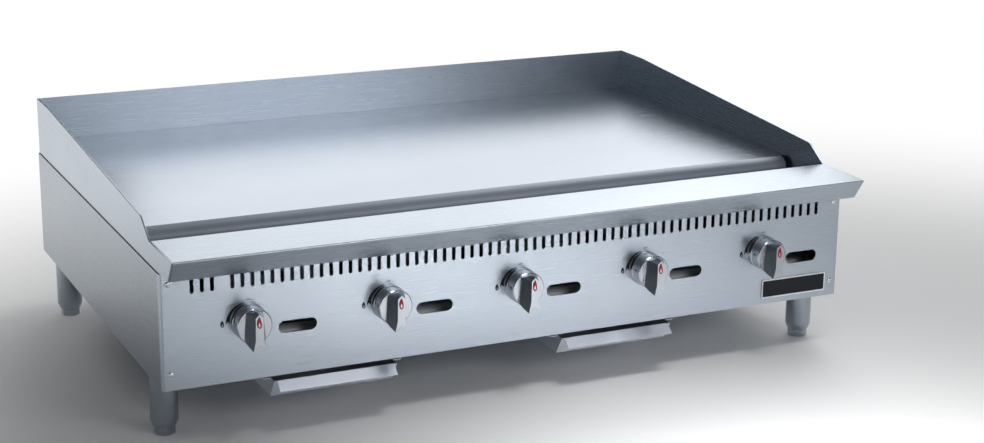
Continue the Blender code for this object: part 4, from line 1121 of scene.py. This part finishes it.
def inlet():
    """The bent inlet pipe, out through the rear panel."""
    low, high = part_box("gas_inlet_pipe")
    radius = (high.z - low.z) / 2
    z = (low.z + high.z) / 2
    right = high.x - radius
    front = low.y + radius
    corner = (right - INLET_BEND, front + INLET_BEND)
    route = [Vector((low.x, front, z))]
    route += [Vector((x, y, z)) for x, y in arc(corner, INLET_BEND, -90, 0, INLET_BEND_STEPS)]
    route.append(Vector((right, high.y, z)))
    piece = pipe("gas_inlet_bend", route, radius)
    dress(round_edges(piece, PANEL_EDGE), FINISHES["dull_steel"], "dull_steel", "cabinet", "gas_inlet_pipe")


def gas_train():
    """Burners, valves, pilots and stems behind the panel, and the pipes that feed them."""
    for number in range(1, KNOBS + 1):
        for node, finish, slot, body in (
            (f"burner_{number}", "cast_iron", "cast_iron", "cabinet"),
            (f"gas_valve_{number}", "brass", "brass", "cabinet"),
            # The pilot tubes get the dark aluminium: painted shade.
            (f"pilot_tube_{number}", "aluminium", "aluminium", "cabinet"),
            (f"valve_stem_{number}", "dull_steel", "dull_steel", f"knob_{number}"),
        ):
            dress(skin(node, PANEL_EDGE), FINISHES[finish], slot, body, node)
    manifold()
    inlet()


# Trays, legs and feet


def trays():
    """The drip trays with their pull lips."""
    for number in range(1, TRAYS + 1):
        node = f"drip_tray_{number}"
        # The trays get the paler tray steel: painted highlight.
        dress(skin(node, TRAY_EDGE), FINISHES["tray_steel"], "stainless", f"tray_{number}", node)


def upright_axis(low, high):
    """A move to the upright axis in the middle of a box."""
    return Matrix.Translation(((low.x + high.x) / 2, (low.y + high.y) / 2, 0))


def leg(number):
    """A round leg with a tapered tip, the stud that holds it and the bore for its foot."""
    node = f"leg_{number}"
    low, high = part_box(node)
    radius = (high.x - low.x) / 2
    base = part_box("left_side_panel")[0].z - CLEARANCE
    tip = radius - LEG_TIP_INSET
    profile = [
        (0, high.z),
        (LEG_STUD, high.z),
        (LEG_STUD, base),
        (radius - LEG_EDGE, base),
        (radius, base - LEG_EDGE),
        (radius, low.z + LEG_TIP_START),
        (radius - LEG_TIP_EASE, low.z + LEG_TIP_TURN),
        (tip + LEG_EDGE, low.z + LEG_EDGE),
        (tip - LEG_TIP_EASE, low.z),
        (LEG_BORE, low.z),
        (LEG_BORE, low.z + LEG_BORE_DEPTH),
        (0, low.z + LEG_BORE_DEPTH),
    ]
    piece = place(turned(f"leg_{number}_tube", profile, LEG_STEPS), upright_axis(low, high))
    smooth(piece)
    # The leg gets the darker leg steel: painted shade.
    dress(piece, FINISHES["leg_steel"], "stainless", "cabinet", node)


def hexagonal_head(name, node, axis):
    """A foot's head about its own Z axis, with its corners turned off at both ends."""
    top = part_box(node)[1].z
    head = place(merged_copy(name, node), axis.inverted())
    shank = block("shank_cutter", (-FOOT_CUT, -FOOT_CUT, FOOT_HEIGHT), (FOOT_CUT, FOOT_CUT, top + FOOT_CUT / 2))
    head = combine(head, shank, "DIFFERENCE")
    corner = max(math.hypot(point.co.x, point.co.y) for point in head.data.vertices)
    flat = corner * math.cos(math.pi / 6)
    cone = turned("corner_cone", [
        (0, FOOT_HEIGHT),
        (flat + CONE_PAST_FLATS, FOOT_HEIGHT),
        (corner + CONE_PAST_CORNERS, FOOT_HEIGHT - FOOT_CHAMFER),
        (corner + CONE_PAST_CORNERS, FOOT_CHAMFER),
        (flat + CONE_PAST_FLATS, 0),
        (0, 0),
    ], LEG_STEPS)
    return combine(head, cone, "INTERSECT")


def levelling_foot(number):
    """A hexagonal foot with a threaded shank."""
    node = f"levelling_foot_{number}"
    low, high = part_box(node)
    axis = upright_axis(low, high)
    head = hexagonal_head(f"levelling_foot_{number}_hex", node, axis)
    shank = threaded("shank", SHANK_RADIUS, high.z - FOOT_HEIGHT + SHANK_SINK)
    place(shank, Matrix.Translation((0, 0, FOOT_HEIGHT - SHANK_SINK)))
    foot = place(combine(head, shank, "UNION"), axis)
    smooth(foot, THREAD_SHARP_ANGLE)
    # The foot gets the darker leg steel: painted shade.
    dress(foot, FINISHES["leg_steel"], "stainless", f"foot_{number}", node)


# Stage, light and camera


def floor():
    """A plain pale floor. Away from the object it shows as white, whatever light reaches it there."""
    shape = bmesh.new()
    bmesh.ops.create_grid(shape, x_segments=1, y_segments=1, size=FLOOR_HALF)
    ground = new_piece("floor", shape)
    finish, tree, shader = new_finish("pale_floor")
    shader.inputs["Base Color"].default_value = FLOOR_COLOUR
    shader.inputs["Roughness"].default_value = FLOOR_ROUGHNESS
    shader.inputs["Specular IOR Level"].default_value = FLOOR_SHINE
    place_of = add_node(tree, "ShaderNodeTexCoord")
    distance = add_node(
        tree, "ShaderNodeVectorMath",
        [(0, place_of.outputs["Object"]), (1, FLOOR_WHITE_CENTRE)],
        operation="DISTANCE",
    )
    away = add_node(tree, "ShaderNodeMapRange", [
        ("Value", distance.outputs["Value"]), ("From Min", FLOOR_WHITE_FROM), ("From Max", FLOOR_WHITE_AT),
    ], interpolation_type="SMOOTHSTEP")
    path = add_node(tree, "ShaderNodeLightPath")
    seen = add_node(
        tree, "ShaderNodeMath", [(0, path.outputs["Is Camera Ray"]), (1, path.outputs["Is Glossy Ray"])]
    )
    seen = add_node(
        tree, "ShaderNodeMath", [(0, seen.outputs[0]), (1, path.outputs["Is Transmission Ray"])], use_clamp=True
    )
    share = add_node(
        tree, "ShaderNodeMath", [(0, seen.outputs[0]), (1, away.outputs[0])], operation="MULTIPLY"
    )
    white = add_node(tree, "ShaderNodeEmission")
    mix = add_node(tree, "ShaderNodeMixShader", [(0, share.outputs[0])])
    tree.links.new(shader.outputs[0], mix.inputs[1])
    tree.links.new(white.outputs[0], mix.inputs[2])
    tree.links.new(mix.outputs[0], tree.nodes["Material Output"].inputs["Surface"])
    ground.data.materials.append(finish)


def area_light(name, spot, target, size, power, spread):
    """A soft rectangular light aimed at a point, that the camera doesn't see."""
    lamp = bpy.data.lights.new(name, "AREA")
    lamp.shape = "RECTANGLE"
    lamp.size = size[0]
    lamp.size_y = size[1]
    lamp.energy = power
    lamp.spread = math.radians(spread)
    carrier = bpy.data.objects.new(name, lamp)
    bpy.context.scene.collection.objects.link(carrier)
    carrier.location = spot
    aim = Vector(target) - Vector(spot)
    carrier.rotation_euler = aim.to_track_quat("-Z", "Y").to_euler()
    carrier.visible_camera = False


def world():
    """A dim studio above a white horizon, with a paler ceiling."""
    studio = bpy.data.worlds.new("studio")
    studio.use_nodes = True
    bpy.context.scene.world = studio
    tree = studio.node_tree
    way = add_node(tree, "ShaderNodeTexCoord")
    parts = add_node(tree, "ShaderNodeSeparateXYZ", [(0, way.outputs["Generated"])])
    level = add_node(tree, "ShaderNodeMapRange", [
        ("Value", parts.outputs["Z"]), ("From Min", HORIZON_LOW), ("From Max", HORIZON_HIGH),
        ("To Min", 1.0), ("To Max", STUDIO_LEVEL),
    ], interpolation_type="SMOOTHSTEP")
    ceiling = add_node(tree, "ShaderNodeMapRange", [
        ("Value", parts.outputs["Z"]), ("From Min", CEILING_LOW), ("From Max", CEILING_HIGH),
        ("To Min", 0.0), ("To Max", CEILING_LEVEL),
    ], interpolation_type="SMOOTHSTEP")
    whole = add_node(tree, "ShaderNodeMath", [(0, level.outputs[0]), (1, ceiling.outputs[0])])
    tree.links.new(whole.outputs[0], tree.nodes["Background"].inputs["Strength"])
    tree.nodes["Background"].inputs["Color"].default_value = STUDIO_COLOUR


def light():
    """Soft studio lights: overhead, behind for the plate, in front for the panel, and down on the floor."""
    for lamp in LAMPS:
        area_light(*lamp)
    world()


def camera():
    """The camera at the photograph's angle."""
    lens = bpy.data.cameras.new("camera")
    lens.lens = LENS
    lens.sensor_width = SENSOR
    lens.sensor_fit = "HORIZONTAL"
    eye = bpy.data.objects.new("camera", lens)
    bpy.context.scene.collection.objects.link(eye)
    turn = (
        Matrix.Rotation(CAMERA_HEADING, 4, "Z")
        @ Matrix.Rotation(CAMERA_TILT, 4, "X")
        @ Matrix.Rotation(CAMERA_ROLL, 4, "Z")
    )
    eye.matrix_world = Matrix.Translation(CAMERA_PLACE) @ turn
    bpy.context.scene.camera = eye


front_panel()
side_panel("left")
side_panel("right")
sheet_metal()
support_hem()
badge()
panel_screws()
top()
for knob_number in range(1, KNOBS + 1):
    knob(knob_number)
panel_marks()
gas_train()
trays()
for leg_number in range(1, LEGS + 1):
    leg(leg_number)
    levelling_foot(leg_number)
floor()
light()
camera()
bpy.context.scene.view_settings.view_transform = "Standard"
